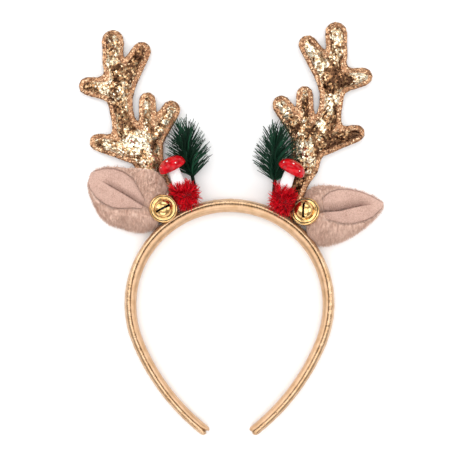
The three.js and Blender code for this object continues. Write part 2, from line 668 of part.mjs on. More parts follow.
function capWhole(side, grow = 0) {
  const cap = new THREE.LatheGeometry(capProfile(grow), 20);
  const seat = new THREE.Matrix4().makeTranslation(0, STALK_LENGTH - CAP_SINK, 0);
  const lean = new THREE.Matrix4().makeRotationZ(radians(-side.out * side.capLean));
  const tilt = new THREE.Matrix4().makeRotationX(radians(CAP_TILT));
  return placed(cap, stalkPlace(side).multiply(seat).multiply(lean).multiply(tilt));
}

// Pine sprigs

// A stem with needles that point up it, spread to both sides and only a little up and down
function sprigWhole(side) {
  const stem = new THREE.CylinderGeometry(SPRIG_STEM_RADIUS * 0.5, SPRIG_STEM_RADIUS, SPRIG_LENGTH, 6)
    .translate(0, SPRIG_LENGTH / 2, 0);
  const needles = Array.from({ length: NEEDLES }, (_, i) => {
    const share = (i + 1) / NEEDLES;
    const hand = i % 2 ? 1 : -1;
    const length = NEEDLE_LENGTH * (0.65 + 0.35 * Math.sin(Math.PI * Math.sqrt(share)));
    const needle = new THREE.ConeGeometry(NEEDLE_RADIUS, length, 3).translate(0, length / 2, 0);
    const splay = radians(hand * mix(58, 10, share ** 3));
    const lift = Math.sin(i * 2.4) * NEEDLE_LIFT;
    const root = new THREE.Vector3(0, SPRIG_LENGTH * mix(NEEDLES_FROM, 0.97, share), 0);
    const aim = new THREE.Vector3(Math.sin(splay), Math.cos(splay), lift).normalize();
    const turn = new THREE.Quaternion().setFromUnitVectors(UPRIGHT, aim);
    return placed(needle, new THREE.Matrix4().compose(root, turn, new THREE.Vector3(1, 1, 1)));
  });
  return moved(joined([toSolid(stem), ...needles]), sprigPlace(side));
}

function sprigPlace(side) {
  const lean = new THREE.Matrix4().makeRotationZ(radians(-side.out * side.sprigLean));
  const pitch = new THREE.Matrix4().makeRotationX(radians(side.sprigPitch));
  const foot = onPompom(side, side.sprigAt, side.sprigUp);
  return new THREE.Matrix4().setPosition(foot).multiply(lean).multiply(pitch);
}

// The room round a sprig's stem
function stemRoom(side) {
  const reach = SPRIG_STEM_RADIUS + CLEARANCE;
  const room = new THREE.CylinderGeometry(reach, reach, SPRIG_LENGTH, 8);
  return placed(room.translate(0, SPRIG_LENGTH / 2 - CLEARANCE, 0), sprigPlace(side));
}

// The whole headband

const group = new THREE.Group();
group.name = 'reindeer_headband';

function addPiece(name, shape, finish) {
  const geometry = shape.isBufferGeometry ? shape : toGeometry(shape);
  const mesh = new THREE.Mesh(geometry, new THREE.MeshStandardMaterial(FINISH[finish]));
  mesh.name = name;
  group.add(mesh);
}

// What stays of a soft piece when its neighbours press into it
const clearOf = (solid, neighbours) => largest(neighbours.reduce((left, room) => left.subtract(room), solid));

addPiece('band', bandCover(), 'band');
addPiece('band_lining', bandLining(), 'lining');

const bandRoom = bandCover(CLEARANCE);
for (const side of SIDES) {
  const add = (name, shape, finish) => addPiece(`${name}_${side.name}`, shape, finish);
  const hard = [bandRoom, bellRoom(side)];
  const nearEar = [...hard, antlerWhole(side, CLEARANCE)];
  const toadstool = [stalkWhole(side, CLEARANCE), capWhole(side, CLEARANCE)];
  const nearTrim = [...nearEar, earWhole(side, CLEARANCE), ...toadstool];
  const pellet = bellPlace(side).multiply(new THREE.Matrix4().makeTranslation(0, 0, -PELLET_DROP));
  add('antler', clearOf(antlerWhole(side), hard), 'glitter');
  add('ear', clearOf(earWhole(side), [...nearEar, earLining(side, CLEARANCE)]), 'plush');
  add('ear_lining', clearOf(earLining(side), nearEar), 'suede');
  add('bell', moved(bellShell(), bellPlace(side)), 'brass');
  add('bell_pellet', placed(new THREE.IcosahedronGeometry(PELLET_RADIUS, 1), pellet), 'steel');
  add('pompom', clearOf(pompomWhole(side), [...nearTrim, stemRoom(side)]), 'tinsel');
  add('toadstool_cap', clearOf(capWhole(side), [toadstool[0]]), 'redPaint');
  add('toadstool_stalk', stalkWhole(side), 'whiteFoam');
  add('pine_sprig', clearOf(sprigWhole(side), nearTrim), 'pine');
}

const box = new THREE.Box3().setFromObject(group);
const middle = box.getCenter(new THREE.Vector3());
group.position.set(-middle.x, -middle.y, -box.min.z);

export default group;
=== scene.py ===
import math
import random

import bmesh
import bpy
from mathutils import Matrix, Vector, noise


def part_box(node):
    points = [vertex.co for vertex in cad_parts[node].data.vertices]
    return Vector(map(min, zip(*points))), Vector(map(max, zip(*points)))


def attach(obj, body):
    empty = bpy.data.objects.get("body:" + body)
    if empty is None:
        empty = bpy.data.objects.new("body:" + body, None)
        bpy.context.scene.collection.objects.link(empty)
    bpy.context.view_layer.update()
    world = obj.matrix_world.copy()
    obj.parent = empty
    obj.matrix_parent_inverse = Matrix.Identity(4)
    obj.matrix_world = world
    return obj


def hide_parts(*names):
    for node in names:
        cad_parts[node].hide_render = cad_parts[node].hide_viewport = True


bl_info = {
    "name": "Reindeer Antler Headband",
    "version": (1, 0, 0),
    "blender": (4, 5, 0),
    "location": "3D View > Sidebar > Headband",
    "description": "Dresses a hair band with glitter antlers, plush ears, bells and winter trimmings",
    "category": "Object",
}

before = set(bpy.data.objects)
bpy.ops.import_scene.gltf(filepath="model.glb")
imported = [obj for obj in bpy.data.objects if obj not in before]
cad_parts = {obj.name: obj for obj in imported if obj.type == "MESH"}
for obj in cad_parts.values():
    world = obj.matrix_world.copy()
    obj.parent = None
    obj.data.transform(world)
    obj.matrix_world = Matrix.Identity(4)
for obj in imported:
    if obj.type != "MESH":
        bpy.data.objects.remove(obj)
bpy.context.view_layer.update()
MM = 0.001
SIDES = {"left": -1, "right": 1}

# The hoop's own lines, in millimetres and degrees, as in the model that it dresses. The seam lies off the
# middle over the crown and turns in towards the head on the legs.
CROWN_RADIUS = 65.0
CROWN_SWEEP = 112.0
LEG_RADIUS = 141.7
LEG_SWEEP = 29.6
BAND_DEPTH = 12.0
OUTER_SWELL = 4.4
FULL_SWEEP = 20.0
TIP_SCALE = 0.78
LINING_SWELL = 4.45
CROWN_SEAM = 0.85
LEG_SEAM = -0.7
BAND_LOW, BAND_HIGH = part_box("band")
HOOP_MIDDLE = Vector(
    ((BAND_LOW.x + BAND_HIGH.x) / 2, BAND_HIGH.y - (CROWN_RADIUS + OUTER_SWELL) * MM, 0)
)

# Sections of the hoop as (out, up), in millimetres from its middle line and from the table
COVER_SECTION = (
    (1.8, 0.02), (2.6, 0.5), (3.4, 1.5), (4.0, 2.8), (4.35, 4.2), (4.4, 5.6), (4.35, 7.0), (4.1, 8.4),
    (3.65, 9.7), (3.0, 10.7), (2.3, 11.3), (1.75, 11.45), (1.3, 11.34), (1.0, 11.15), (0.88, 10.85),
    (0.7, 10.6), (0.3, 10.7), (-0.9, 10.5), (-2.0, 9.6), (-2.8, 7.9), (-3.1, 5.8), (-2.9, 3.6),
    (-2.4, 1.8), (-1.8, 0.7), (-1.2, 0.02),
)
LINING_SECTION = (
    (0.76, 11.0), (0.7, 11.2), (0.3, 11.44), (-0.6, 11.5), (-1.7, 11.35), (-2.7, 10.85), (-3.6, 9.9),
    (-4.2, 8.3), (-4.45, 6.4), (-4.4, 4.6), (-4.0, 2.6), (-3.3, 1.0), (-2.9, 0.45), (-2.7, 0.7),
    (-3.05, 2.3), (-3.4, 4.2), (-3.5, 5.7), (-3.3, 7.4), (-2.8, 8.9), (-1.9, 10.1), (-0.9, 10.7),
    (0.1, 10.8), (0.6, 10.75),
)


def srgb(value):
    """Turns an sRGB hex value into a linear colour."""
    parts = [((value >> shift) & 255) / 255 for shift in (16, 8, 0)]
    return tuple(c / 12.92 if c <= 0.04045 else ((c + 0.055) / 1.055) ** 2.4 for c in parts)


def outwards(degrees):
    angle = math.radians(degrees)
    return Vector((math.sin(angle), math.cos(angle), 0))


def beside_band(hand, degrees, off, up):
    """A place out from the crown's outer side, in metres. off and up are in millimetres."""
    flat = outwards(degrees) * (CROWN_RADIUS + OUTER_SWELL + off)
    return HOOP_MIDDLE + Vector((hand * flat.x, flat.y, up)) * MM


def smooth_step(low, high, value):
    share = min(1, max(0, (value - low) / (high - low)))
    return share * share * (3 - 2 * share)


LEG_MIDDLE = outwards(CROWN_SWEEP) * (CROWN_RADIUS - LEG_RADIUS) * MM


def on_hoop(flat):
    """Where a point beside the hoop's middle lies on its right half: the angle of the hoop's outward side,
    how far along that is from the top of the crown, and how far out from the middle line, both in metres."""
    degrees = math.degrees(math.atan2(flat.x, flat.y))
    radius = CROWN_RADIUS * MM
    along = math.radians(degrees) * radius
    if degrees > CROWN_SWEEP:
        flat = flat - LEG_MIDDLE
        degrees = math.degrees(math.atan2(flat.x, flat.y))
        along = math.radians(CROWN_SWEEP) * radius
        radius = LEG_RADIUS * MM
        along += math.radians(degrees - CROWN_SWEEP) * radius
    return degrees, along, math.hypot(flat.x, flat.y) - radius


def band_scale(degrees):
    """The band is full size over the top of the crown and narrows from there to its tips."""
    share = (abs(degrees) - FULL_SWEEP) / (CROWN_SWEEP + LEG_SWEEP - FULL_SWEEP)
    return 1 + (TIP_SCALE - 1) * min(1, max(0, share))


def seam_place(degrees):
    """How far out the seam lies, in millimetres of the full-size section."""
    return CROWN_SEAM + (LEG_SEAM - CROWN_SEAM) * smooth_step(50, 105, abs(degrees))


def seam_shift(degrees, out):
    """How far a point of the full-size section moves out when the seam does. The band's edges stay."""
    move = seam_place(degrees) - CROWN_SEAM
    if out > CROWN_SEAM:
        return move * max(0, OUTER_SWELL - out) / (OUTER_SWELL - CROWN_SEAM)
    return move * max(0, out + LINING_SWELL) / (CROWN_SEAM + LINING_SWELL)


# Nodes and materials


def add_node(tree, kind, inputs=None, stops=None, **settings):
    """Adds a node. inputs maps a socket to its value or to the output that feeds it."""
    made = tree.nodes.new(kind)
    for name, value in settings.items():
        setattr(made, name, value)
    for place, (at, colour) in enumerate(stops or ()):
        band = made.color_ramp.elements
        stop = band[place] if place < 2 else band.new(at)
        stop.position = at
        stop.color = (*colour, 1)
    for socket, value in (inputs or {}).items():
        if isinstance(value, bpy.types.NodeSocket):
            tree.links.new(value, made.inputs[socket])
        else:
            made.inputs[socket].default_value = value
    return made


def new_material(name, **shader):
    """Starts a material with its shader's plain values and returns it with its tree and shader."""
    material = bpy.data.materials.new(name)
    material.use_nodes = True
    tree = material.node_tree
    tree.nodes.clear()
    values = {socket.replace("_", " "): value for socket, value in shader.items()}
    body = add_node(tree, "ShaderNodeBsdfPrincipled", values)
    add_node(tree, "ShaderNodeOutputMaterial", {"Surface": body.outputs[0]})
    return material, tree, body


def feed(tree, body, **sources):
    """Links outputs into a shader's named inputs."""
    for socket, source in sources.items():
        tree.links.new(source, body.inputs[socket.replace("_", " ")])


def per_metre(size):
    """A texture's scale for a pattern whose repeat is size millimetres."""
    return 1 / (size * MM)


def glitter_material(name, flake, tilt, crumple, body_tones_and_glints, rim_tones_and_glints):
    """Glitter cloth: hard foil flakes glued on a woven ground. Each flake is one flat mirror with a tilt of its
    own, and the cloth's crumples turn neighbouring flakes together, so that some flash and some fall dark in
    the light. The base colour also carries painted glints and painted shade: each flake is coloured from dark
    brown to cream by its own random value and by broad noise, standing in for flakes that flash or fall dark.
    The flakes lie flatter on the pressed rim, which stays copper with milder painted glints, and a dark line of
    painted shade runs in its stitched groove. They are drawn about twice as coarse as real ones, so that the
    render can show them."""
    material, tree, body = new_material(name, Metallic=0.8)
    place = add_node(tree, "ShaderNodeTexCoord").outputs["Object"]
    rim = add_node(tree, "ShaderNodeAttribute", attribute_name="rim").outputs["Fac"]
    seam = add_node(tree, "ShaderNodeAttribute", attribute_name="seam").outputs["Fac"]
    coarse = add_node(tree, "ShaderNodeTexVoronoi", {"Vector": place, "Scale": per_metre(flake)})
    fine = add_node(tree, "ShaderNodeTexVoronoi", {"Vector": place, "Scale": per_metre(0.55 * flake)})
    flakes = add_node(
        tree, "ShaderNodeMix", {0: rim, 6: coarse.outputs["Color"], 7: fine.outputs["Color"]},
        data_type="RGBA",
    )
    split = add_node(tree, "ShaderNodeSeparateColor", {"Color": flakes.outputs[2]})
    # Broad noise that groups the painted glints and painted shade of the flakes
    glint_patches = add_node(
        tree, "ShaderNodeTexNoise",
        {"Vector": place, "Scale": per_metre(15), "Detail": 5.0, "Roughness": 0.66, "Distortion": 0.6},
    )
    spread = add_node(
        tree, "ShaderNodeMapRange", {"Value": glint_patches.outputs["Fac"], "From Min": 0.4, "From Max": 0.6}
    )
    # Each flake's random value, leant towards the broad noise, picks its painted glint or painted shade below
    shade = add_node(tree, "ShaderNodeMix", {0: 0.54, 2: split.outputs["Red"], 3: spread.outputs["Result"]})
    on_body = add_node(tree, "ShaderNodeValToRGB", {"Fac": shade.outputs[0]}, body_tones_and_glints)
    on_rim = add_node(tree, "ShaderNodeValToRGB", {"Fac": split.outputs["Red"]}, rim_tones_and_glints)
    colour = add_node(
        tree, "ShaderNodeMix",
        {0: rim, 6: on_body.outputs["Color"], 7: on_rim.outputs["Color"]}, data_type="RGBA",
    )
    # Darker where the seam attribute is high: painted shade in the stitched groove of the rim
    sewn = add_node(
        tree, "ShaderNodeMix", {0: seam, 6: colour.outputs[2], 7: (*srgb(0x5A3218), 1)}, data_type="RGBA"
    )
    gloss = add_node(
        tree, "ShaderNodeMapRange", {"Value": split.outputs["Green"], "To Min": 0.08, "To Max": 0.26}
    )
    middle = (0.5, 0.5, 0.5)
    lean = add_node(tree, "ShaderNodeVectorMath", {0: flakes.outputs[2], 1: middle}, operation="SUBTRACT")
    lean = add_node(tree, "ShaderNodeVectorMath", {0: lean.outputs[0], "Scale": tilt}, operation="SCALE")
    crease_shades_and_seams = add_node(tree, "ShaderNodeTexNoise", {"Vector": place, "Scale": per_metre(9), "Detail": 3.0})
    slope = add_node(
        tree, "ShaderNodeVectorMath", {0: crease_shades_and_seams.outputs["Color"], 1: middle}, operation="SUBTRACT"
    )
    slope = add_node(tree, "ShaderNodeVectorMath", {0: slope.outputs[0], "Scale": crumple}, operation="SCALE")
    facing = add_node(tree, "ShaderNodeNewGeometry").outputs["Normal"]
    both = add_node(tree, "ShaderNodeVectorMath", {0: lean.outputs[0], 1: slope.outputs[0]}, operation="ADD")
    calm = add_node(tree, "ShaderNodeMapRange", {"Value": rim, "To Min": 1.0, "To Max": 0.45})
    turned = add_node(
        tree, "ShaderNodeVectorMath", {0: both.outputs[0], "Scale": calm.outputs["Result"]}, operation="SCALE"
    )
    turned = add_node(tree, "ShaderNodeVectorMath", {0: facing, 1: turned.outputs[0]}, operation="ADD")
    turned = add_node(tree, "ShaderNodeVectorMath", {0: turned.outputs[0]}, operation="NORMALIZE")
    feed(
        tree, body, Base_Color=sewn.outputs[2], Roughness=gloss.outputs["Result"], Normal=turned.outputs[0]
    )
    return material


def leatherette_material(name, colour, groove, roughness, crinkle):
    """Metallic leatherette: gold foil pressed on a soft backing. It has a satin gloss, fine crinkles across the
    strip, and dark stitches along the seam on a line of painted shade where the foil is drawn into it."""
    material, tree, body = new_material(name, Metallic=0.75, Roughness=roughness)
    place = add_node(tree, "ShaderNodeTexCoord").outputs["Object"]
    cloudy = add_node(tree, "ShaderNodeTexNoise", {"Vector": place, "Scale": per_metre(5), "Detail": 4.0})
    tone = add_node(
        tree, "ShaderNodeValToRGB", {"Fac": cloudy.outputs["Fac"]}, ((0.3, groove), (0.6, colour))
    )
    # Dark stitches on a line of painted shade along the seam, and painted shade at a pinched tip, where the
    # seam attribute is high
    seam = add_node(tree, "ShaderNodeAttribute", attribute_name="seam").outputs["Fac"]
    sewn = add_node(
        tree, "ShaderNodeMix", {0: seam, 6: tone.outputs["Color"], 7: (*srgb(0x745A34), 1)}, data_type="RGBA"
    )
    strip = add_node(tree, "ShaderNodeAttribute", attribute_name="strip").outputs["Vector"]
    across = add_node(tree, "ShaderNodeMapping", {"Vector": strip, "Scale": (1.0, 0.25, 1.0)})
    creases = add_node(
        tree, "ShaderNodeTexNoise",
        {"Vector": across.outputs[0], "Scale": per_metre(2.0), "Detail": 3.0, "Distortion": 0.5},
    )
    grain = add_node(
        tree, "ShaderNodeTexVoronoi", {"Vector": place, "Scale": per_metre(0.55)}, feature="DISTANCE_TO_EDGE"
    )
    fine = add_node(
        tree, "ShaderNodeBump", {"Height": grain.outputs["Distance"], "Strength": 0.15, "Distance": 0.1 * MM}
    )
    coarse = add_node(
        tree, "ShaderNodeBump",
        {
            "Height": creases.outputs["Fac"], "Strength": crinkle, "Distance": 0.5 * MM,
            "Normal": fine.outputs["Normal"],
        },
    )
    feed(tree, body, Base_Color=sewn.outputs[2], Normal=coarse.outputs["Normal"])
    return material


def cloth_material(name, light, dark, nap, sheen, streak):
    """Brushed polyester cloth: matt, with soft clouds of tone where the nap lies over, fine fibres along it,
    painted shade in its creases and hollows, and darker lines along each seam."""
    material, tree, body = new_material(
        name, Roughness=0.95, Specular_IOR_Level=0.15, Sheen_Weight=sheen, Sheen_Roughness=0.5
    )
    place = add_node(tree, "ShaderNodeTexCoord").outputs["Object"]
    clouds = add_node(
        tree, "ShaderNodeTexNoise", {"Vector": place, "Scale": per_metre(11), "Detail": 4.0, "Roughness": 0.6}
    )
    along = add_node(tree, "ShaderNodeMapping", {"Vector": place, "Scale": streak})
    fibres = add_node(
        tree, "ShaderNodeTexNoise", {"Vector": along.outputs[0], "Scale": per_metre(nap), "Detail": 3.0}
    )
    both = add_node(tree, "ShaderNodeMix", {0: 0.7, 2: clouds.outputs["Fac"], 3: fibres.outputs["Fac"]})
    tone = add_node(tree, "ShaderNodeValToRGB", {"Fac": both.outputs[0]}, ((0.39, dark), (0.6, light)))
    # The fold attribute: painted shade in the ears' creases and hollows, and darker lines along their seams
    fold = add_node(tree, "ShaderNodeAttribute", attribute_name="fold").outputs["Fac"]
    shaded = add_node(
        tree, "ShaderNodeMix", {0: fold, 6: tone.outputs["Color"], 7: (*srgb(0x6E4A42), 1)}, data_type="RGBA"
    )
    relief = add_node(
        tree, "ShaderNodeBump", {"Height": fibres.outputs["Fac"], "Strength": 0.5, "Distance": 0.3 * MM}
    )
    feed(tree, body, Base_Color=shaded.outputs[2], Normal=relief.outputs["Normal"])
    return material


def brass_material(colour):
    """Brass-plated tin: a bright stamped shell with slight waves, so that its reflections bend and smear."""
    material, tree, body = new_material("Brass plated tin", Metallic=1.0)
    place = add_node(tree, "ShaderNodeTexCoord").outputs["Object"]
    haze = add_node(tree, "ShaderNodeTexNoise", {"Vector": place, "Scale": per_metre(1.6), "Detail": 4.0})
    gloss = add_node(
        tree, "ShaderNodeMapRange", {"Value": haze.outputs["Fac"], "To Min": 0.06, "To Max": 0.26}
    )
    tone = add_node(
        tree, "ShaderNodeValToRGB", {"Fac": haze.outputs["Fac"]}, ((0.3, srgb(0xD6A05A)), (0.6, colour))
    )
    waves = add_node(tree, "ShaderNodeTexNoise", {"Vector": place, "Scale": per_metre(4), "Detail": 1.0})
    relief = add_node(
        tree, "ShaderNodeBump", {"Height": waves.outputs["Fac"], "Strength": 0.15, "Distance": 0.4 * MM}
    )
    feed(
        tree, body, Base_Color=tone.outputs["Color"], Roughness=gloss.outputs["Result"],
        Normal=relief.outputs["Normal"],
    )
    return material


def strand_material(name, tones, roughness):
    """Cut strands that differ in tone from one to the next, as their "shade" gives it, so that they stand
    apart. They have a soft gloss, on tinsel foil and on the duller plastic of needles."""
    material, tree, body = new_material(name, Roughness=roughness, Specular_IOR_Level=0.15)
    shade = add_node(tree, "ShaderNodeAttribute", attribute_name="shade").outputs["Fac"]
    place = add_node(tree, "ShaderNodeTexCoord").outputs["Object"]
    uneven = add_node(tree, "ShaderNodeTexNoise", {"Vector": place, "Scale": per_metre(0.9), "Detail": 2.0})
    both = add_node(tree, "ShaderNodeMix", {0: 0.25, 2: shade, 3: uneven.outputs["Fac"]})
    tone = add_node(tree, "ShaderNodeValToRGB", {"Fac": both.outputs[0]}, tones)
    relief = add_node(
        tree, "ShaderNodeBump", {"Height": uneven.outputs["Fac"], "Strength": 0.3, "Distance": 0.1 * MM}
    )
    feed(tree, body, Base_Color=tone.outputs["Color"], Normal=relief.outputs["Normal"])
    return material


def moulded_material(name, light, dark, blotch, roughness, unevenness, **shader):
    """A moulded, painted or tumbled skin, with faint blotches of tone. Its unevenness, in millimetres, breaks
    up the highlights of lacquer and steel and keeps foam and paint soft."""
    material, tree, body = new_material(name, Roughness=roughness, **shader)
    place = add_node(tree, "ShaderNodeTexCoord").outputs["Object"]
    blotches = add_node(
        tree, "ShaderNodeTexNoise", {"Vector": place, "Scale": per_metre(blotch), "Detail": 4.0}
    )
    tone = add_node(
        tree, "ShaderNodeValToRGB", {"Fac": blotches.outputs["Fac"]}, ((0.35, dark), (0.6, light))
    )
    relief = add_node(
        tree, "ShaderNodeBump",
        {"Height": blotches.outputs["Fac"], "Strength": 0.4, "Distance": unevenness * MM},
    )
    feed(tree, body, Base_Color=tone.outputs["Color"], Normal=relief.outputs["Normal"])
    return material


# Meshes and pieces


def mesh_of(name, shape):
    mesh = bpy.data.meshes.new(name)
    shape.to_mesh(mesh)
    shape.free()
    return mesh


def new_object(name, data):
    made = bpy.data.objects.new(name, data)
    bpy.context.scene.collection.objects.link(made)
    return made


def new_piece(name, shape, material, slot, *replaced):
    """Turns a bmesh into a smooth-shaded piece that rides on the headband."""
    mesh = mesh_of(name, shape)
    mesh.shade_smooth()
    mesh.materials.append(material)
    piece = new_object(name, mesh)
    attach(piece, "root")
    if replaced:
        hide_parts(*replaced)
    return piece


def keep_result(piece):
    """Applies a piece's modifiers."""
    made = bpy.data.meshes.new_from_object(piece.evaluated_get(bpy.context.evaluated_depsgraph_get()))
    piece.modifiers.clear()
    piece.data = made
    made.shade_smooth()


def merged_copy(node):
    """A closed copy of a CAD node's mesh."""
    shape = bmesh.new()
    shape.from_mesh(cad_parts[node].data)
    bmesh.ops.remove_doubles(shape, verts=shape.verts, dist=0.02 * MM)
    return shape


def settle(piece):
    """Presses nearly flat on the table whatever would pass through it."""
    for vertex in piece.data.vertices:
        vertex.co.z = max(vertex.co.z, 0.03 * MM + 0.02 * vertex.co.z)


def remesh(piece, voxel):
    even = piece.modifiers.new("Even mesh", "REMESH")
    even.mode = "VOXEL"
    even.voxel_size = voxel * MM
    keep_result(piece)


def soften(piece, rounds, finer):
    """Rounds off a piece's surface, and divides its faces once more if finer is set."""
    rounder = piece.modifiers.new("Rounder", "SMOOTH")
    rounder.factor = 0.5
    rounder.iterations = rounds
    if finer:
        piece.modifiers.new("Finer", "SUBSURF").levels = 1
    keep_result(piece)


SWELL_FRAMES = 20


def inflate(piece, pressure, most, held=None):
    """Swells a padded piece with cloth pressure. No point moves further than most, in millimetres, and held
    gives how firmly each point stays where it was sewn down."""
    start = [vertex.co.copy() for vertex in piece.data.vertices]
    cloth = piece.modifiers.new("Padding", "CLOTH")
    cloth.settings.use_pressure = True
    cloth.settings.uniform_pressure_force = pressure
    cloth.settings.mass = 0.02
    cloth.settings.effector_weights.gravity = 0
    cloth.settings.quality = 4
    if held:
        pins = piece.vertex_groups.new(name="sewn")
        for place in range(len(start)):
            pins.add([place], held(start[place]), "REPLACE")
        cloth.settings.vertex_group_mass = "sewn"
    scene = bpy.context.scene
    for step in range(1, SWELL_FRAMES + 1):
        scene.frame_set(step)
    swollen = piece.evaluated_get(bpy.context.evaluated_depsgraph_get()).data
    ends = [vertex.co.copy() for vertex in swollen.vertices]
    piece.modifiers.clear()
    scene.frame_set(1)
    for vertex, before, after in zip(piece.data.vertices, start, ends):
        move = after - before
        if move.length > most * MM:
            move *= most * MM / move.length
        vertex.co = before + move
    piece.data.update()


def points_with_normals(mesh):
    """Each vertex with its normal, all read before any of them moves."""
    return list(zip(mesh.vertices, [vertex.normal.copy() for vertex in mesh.vertices]))


def set_attribute(mesh, name, values, kind="FLOAT"):
    layer = mesh.attributes.new(name, kind, "POINT")
    layer.data.foreach_set("value" if kind == "FLOAT" else "vector", values)


def joined_copies(template, places, shades):
    """A bmesh of many copies of a small mesh, each with its own shade."""
    shape = bmesh.new()
    layer = shape.verts.layers.float.new("shade")
    for place, shade in zip(places, shades):
        copy = template.copy()
        copy.transform(place)
        before = len(shape.verts)
        shape.from_mesh(copy)
        shape.verts.ensure_lookup_table()
        for vertex in shape.verts[before:]:
            vertex[layer] = shade
        bpy.data.meshes.remove(copy)
    return shape


def aimed(origin, direction, turn=0.0, scale=(1, 1, 1)):
    """A place whose Z axis points along direction."""
    aim = direction.to_track_quat("Z", "Y").to_matrix().to_4x4()
    return Matrix.Translation(origin) @ aim @ Matrix.Rotation(turn, 4, "Z") @ Matrix.Diagonal((*scale, 1))


def spun_shape(section, steps):
    """Spins a section drawn as (out, up) in metres round Z and closes it at its poles."""
    shape = bmesh.new()
    line = [shape.verts.new((out, 0, up)) for out, up in section]
    edges = [shape.edges.new(pair) for pair in zip(line, line[1:])]
    bmesh.ops.spin(
        shape, geom=line + edges, cent=(0, 0, 0), axis=(0, 0, 1), angle=math.tau, steps=steps, use_merge=True
    )
    bmesh.ops.remove_doubles(shape, verts=shape.verts, dist=0.002 * MM)
    bmesh.ops.recalc_face_normals(shape, faces=shape.faces)
    return shape


# Band

# How firmly the seam draws in each tip, and how far at full draw: along the leg and down, in millimetres
TIP_PINCH = {"left": 0.8, "right": 0.25}
PINCH_BACK = 1.5
PINCH_DOWN = 1.4


def swept_strip(section, step):
    """Spins a closed section along the hoop: over half of the crown, down one leg to a rounded tip, and
    mirrored."""
    shape = bmesh.new()
    ring = [shape.verts.new((0, (CROWN_RADIUS + out) * MM, up * MM)) for out, up in section]
    edges = [shape.edges.new((ring[place - 1], vertex)) for place, vertex in enumerate(ring)]
    ends = ring + edges
    for middle, radius, sweep in ((Vector(), CROWN_RADIUS, CROWN_SWEEP), (LEG_MIDDLE, LEG_RADIUS, LEG_SWEEP)):
        steps = round(math.radians(sweep) * radius / step)
        ends = bmesh.ops.spin(
            shape, geom=ends, cent=middle, axis=(0, 0, -1), angle=math.radians(sweep), steps=steps
        )["geom_last"]
    for vertex in shape.verts:
        degrees, _, out = on_hoop(vertex.co)
        scale = band_scale(degrees)
        vertex.co += outwards(degrees) * (seam_shift(degrees, out / MM) * MM * scale + out * (scale - 1))
        vertex.co.z *= scale
    last = [edge for edge in ends if isinstance(edge, bmesh.types.BMEdge)]
    onward = outwards(CROWN_SWEEP + LEG_SWEEP + 90)
    for share, beyond in ((0.95, 1.1), (0.84, 0.9), (0.62, 0.6), (0.25, 0.3)):
        made = bmesh.ops.extrude_edge_only(shape, edges=last)["geom"]
        points = [vertex for vertex in made if isinstance(vertex, bmesh.types.BMVert)]
        last = [edge for edge in made if isinstance(edge, bmesh.types.BMEdge)]
        middle = sum((point.co for point in points), Vector()) / len(points)
        for point in points:
            point.co = middle + (point.co - middle) * share + onward * beyond * MM
    bmesh.ops.holes_fill(shape, edges=last, sides=0)
    everything = list(shape.verts) + list(shape.edges) + list(shape.faces)
    bmesh.ops.mirror(shape, geom=everything, matrix=Matrix.Identity(4), merge_dist=0.005 * MM, axis="X")
    bmesh.ops.translate(shape, verts=shape.verts, vec=HOOP_MIDDLE)
    bmesh.ops.recalc_face_normals(shape, faces=shape.faces)
    return shape


class BandSizes(bpy.types.PropertyGroup):
    crease_depth: bpy.props.FloatProperty(
        name="Crease depth", description="How deep the cover's gathers are", default=0.3 * MM, unit="LENGTH"
    )
    stitch_spacing: bpy.props.FloatProperty(
        name="Stitch spacing", description="From one stitch of the seam to the next", default=1.75 * MM,
        unit="LENGTH",
    )
    gather_spacing: bpy.props.FloatProperty(
        name="Gather spacing", description="From one gather of the cover to the next", default=2.7 * MM,
        unit="LENGTH",
    )
    cover_colour: bpy.props.FloatVectorProperty(
        name="Cover", description="Colour of the outer strip", default=srgb(0xD6B390), subtype="COLOR"
    )
    lining_colour: bpy.props.FloatVectorProperty(
        name="Lining", description="Colour of the strip against the head", default=srgb(0xD7B18D),
        subtype="COLOR",
    )


def gather_strip(piece, sizes, lining):
    """Gathers a strip along the seam at the front, and stores how far along and out each point lies and how
    near it is to the stitches, as dark stitches on a line of painted shade, with painted shade where the seam
    draws in a tip."""
    mesh = piece.data
    places = []
    seams_and_shade = []
    total = math.radians(CROWN_SWEEP) * CROWN_RADIUS + math.radians(LEG_SWEEP) * LEG_RADIUS
    onward = outwards(CROWN_SWEEP + LEG_SWEEP + 90)
    for vertex, facing in points_with_normals(mesh):
        flat = vertex.co - HOOP_MIDDLE
        hand = 1 if flat.x >= 0 else -1
        degrees, along, out = on_hoop(Vector((abs(flat.x), flat.y, 0)))
        past = along / MM - total
        along *= hand
        out /= MM * band_scale(degrees)
        up = vertex.co.z / (MM * band_scale(degrees))
        beside = out - seam_place(degrees)
        near = smooth_step(3.0, 0.3, math.hypot(beside, 0.8 * (11 - up)))
        gather = noise.noise(Vector((along / (1.1 * sizes.gather_spacing), up / 14, 3.0 + 5 * lining)))
        crimp = noise.noise(Vector((along / (0.36 * sizes.gather_spacing), up / 4, 9.0)))
        puff = sizes.crease_depth * (gather * (0.5 + 0.5 * near) + crimp * near * 1.1)
        if lining:
            puff *= 0.3 + 0.5 * near
        if up > 0.6:
            vertex.co += facing * puff
        pinch = TIP_PINCH["left" if hand < 0 else "right"]
        pinch *= smooth_step(1.9, 0.2, abs(beside)) * smooth_step(-4.0, 1.5, past)
        vertex.co -= Vector((hand * onward.x, onward.y, 0)) * pinch * PINCH_BACK * MM
        vertex.co.z -= pinch * PINCH_DOWN * MM * smooth_step(4, 9, up)
        places += [along, out * MM, lining]
        # Dark stitches on a line of painted shade along the seam, fading on the legs, and painted shade where
        # the seam draws in a tip
        stitch = 0.5 + 0.5 * math.sin(math.tau * along / sizes.stitch_spacing + 2.5 * gather)
        sewn = smooth_step(1.0, 0.2, math.hypot(beside, 1.2 * min(0, up - 10.9))) * (0.15 + 0.85 * stitch)
        seams_and_shade.append(max(sewn * (1 - 0.45 * smooth_step(45, 90, degrees)), 0.5 * pinch))
    set_attribute(mesh, "strip", places, "FLOAT_VECTOR")
    set_attribute(mesh, "seam", seams_and_shade)


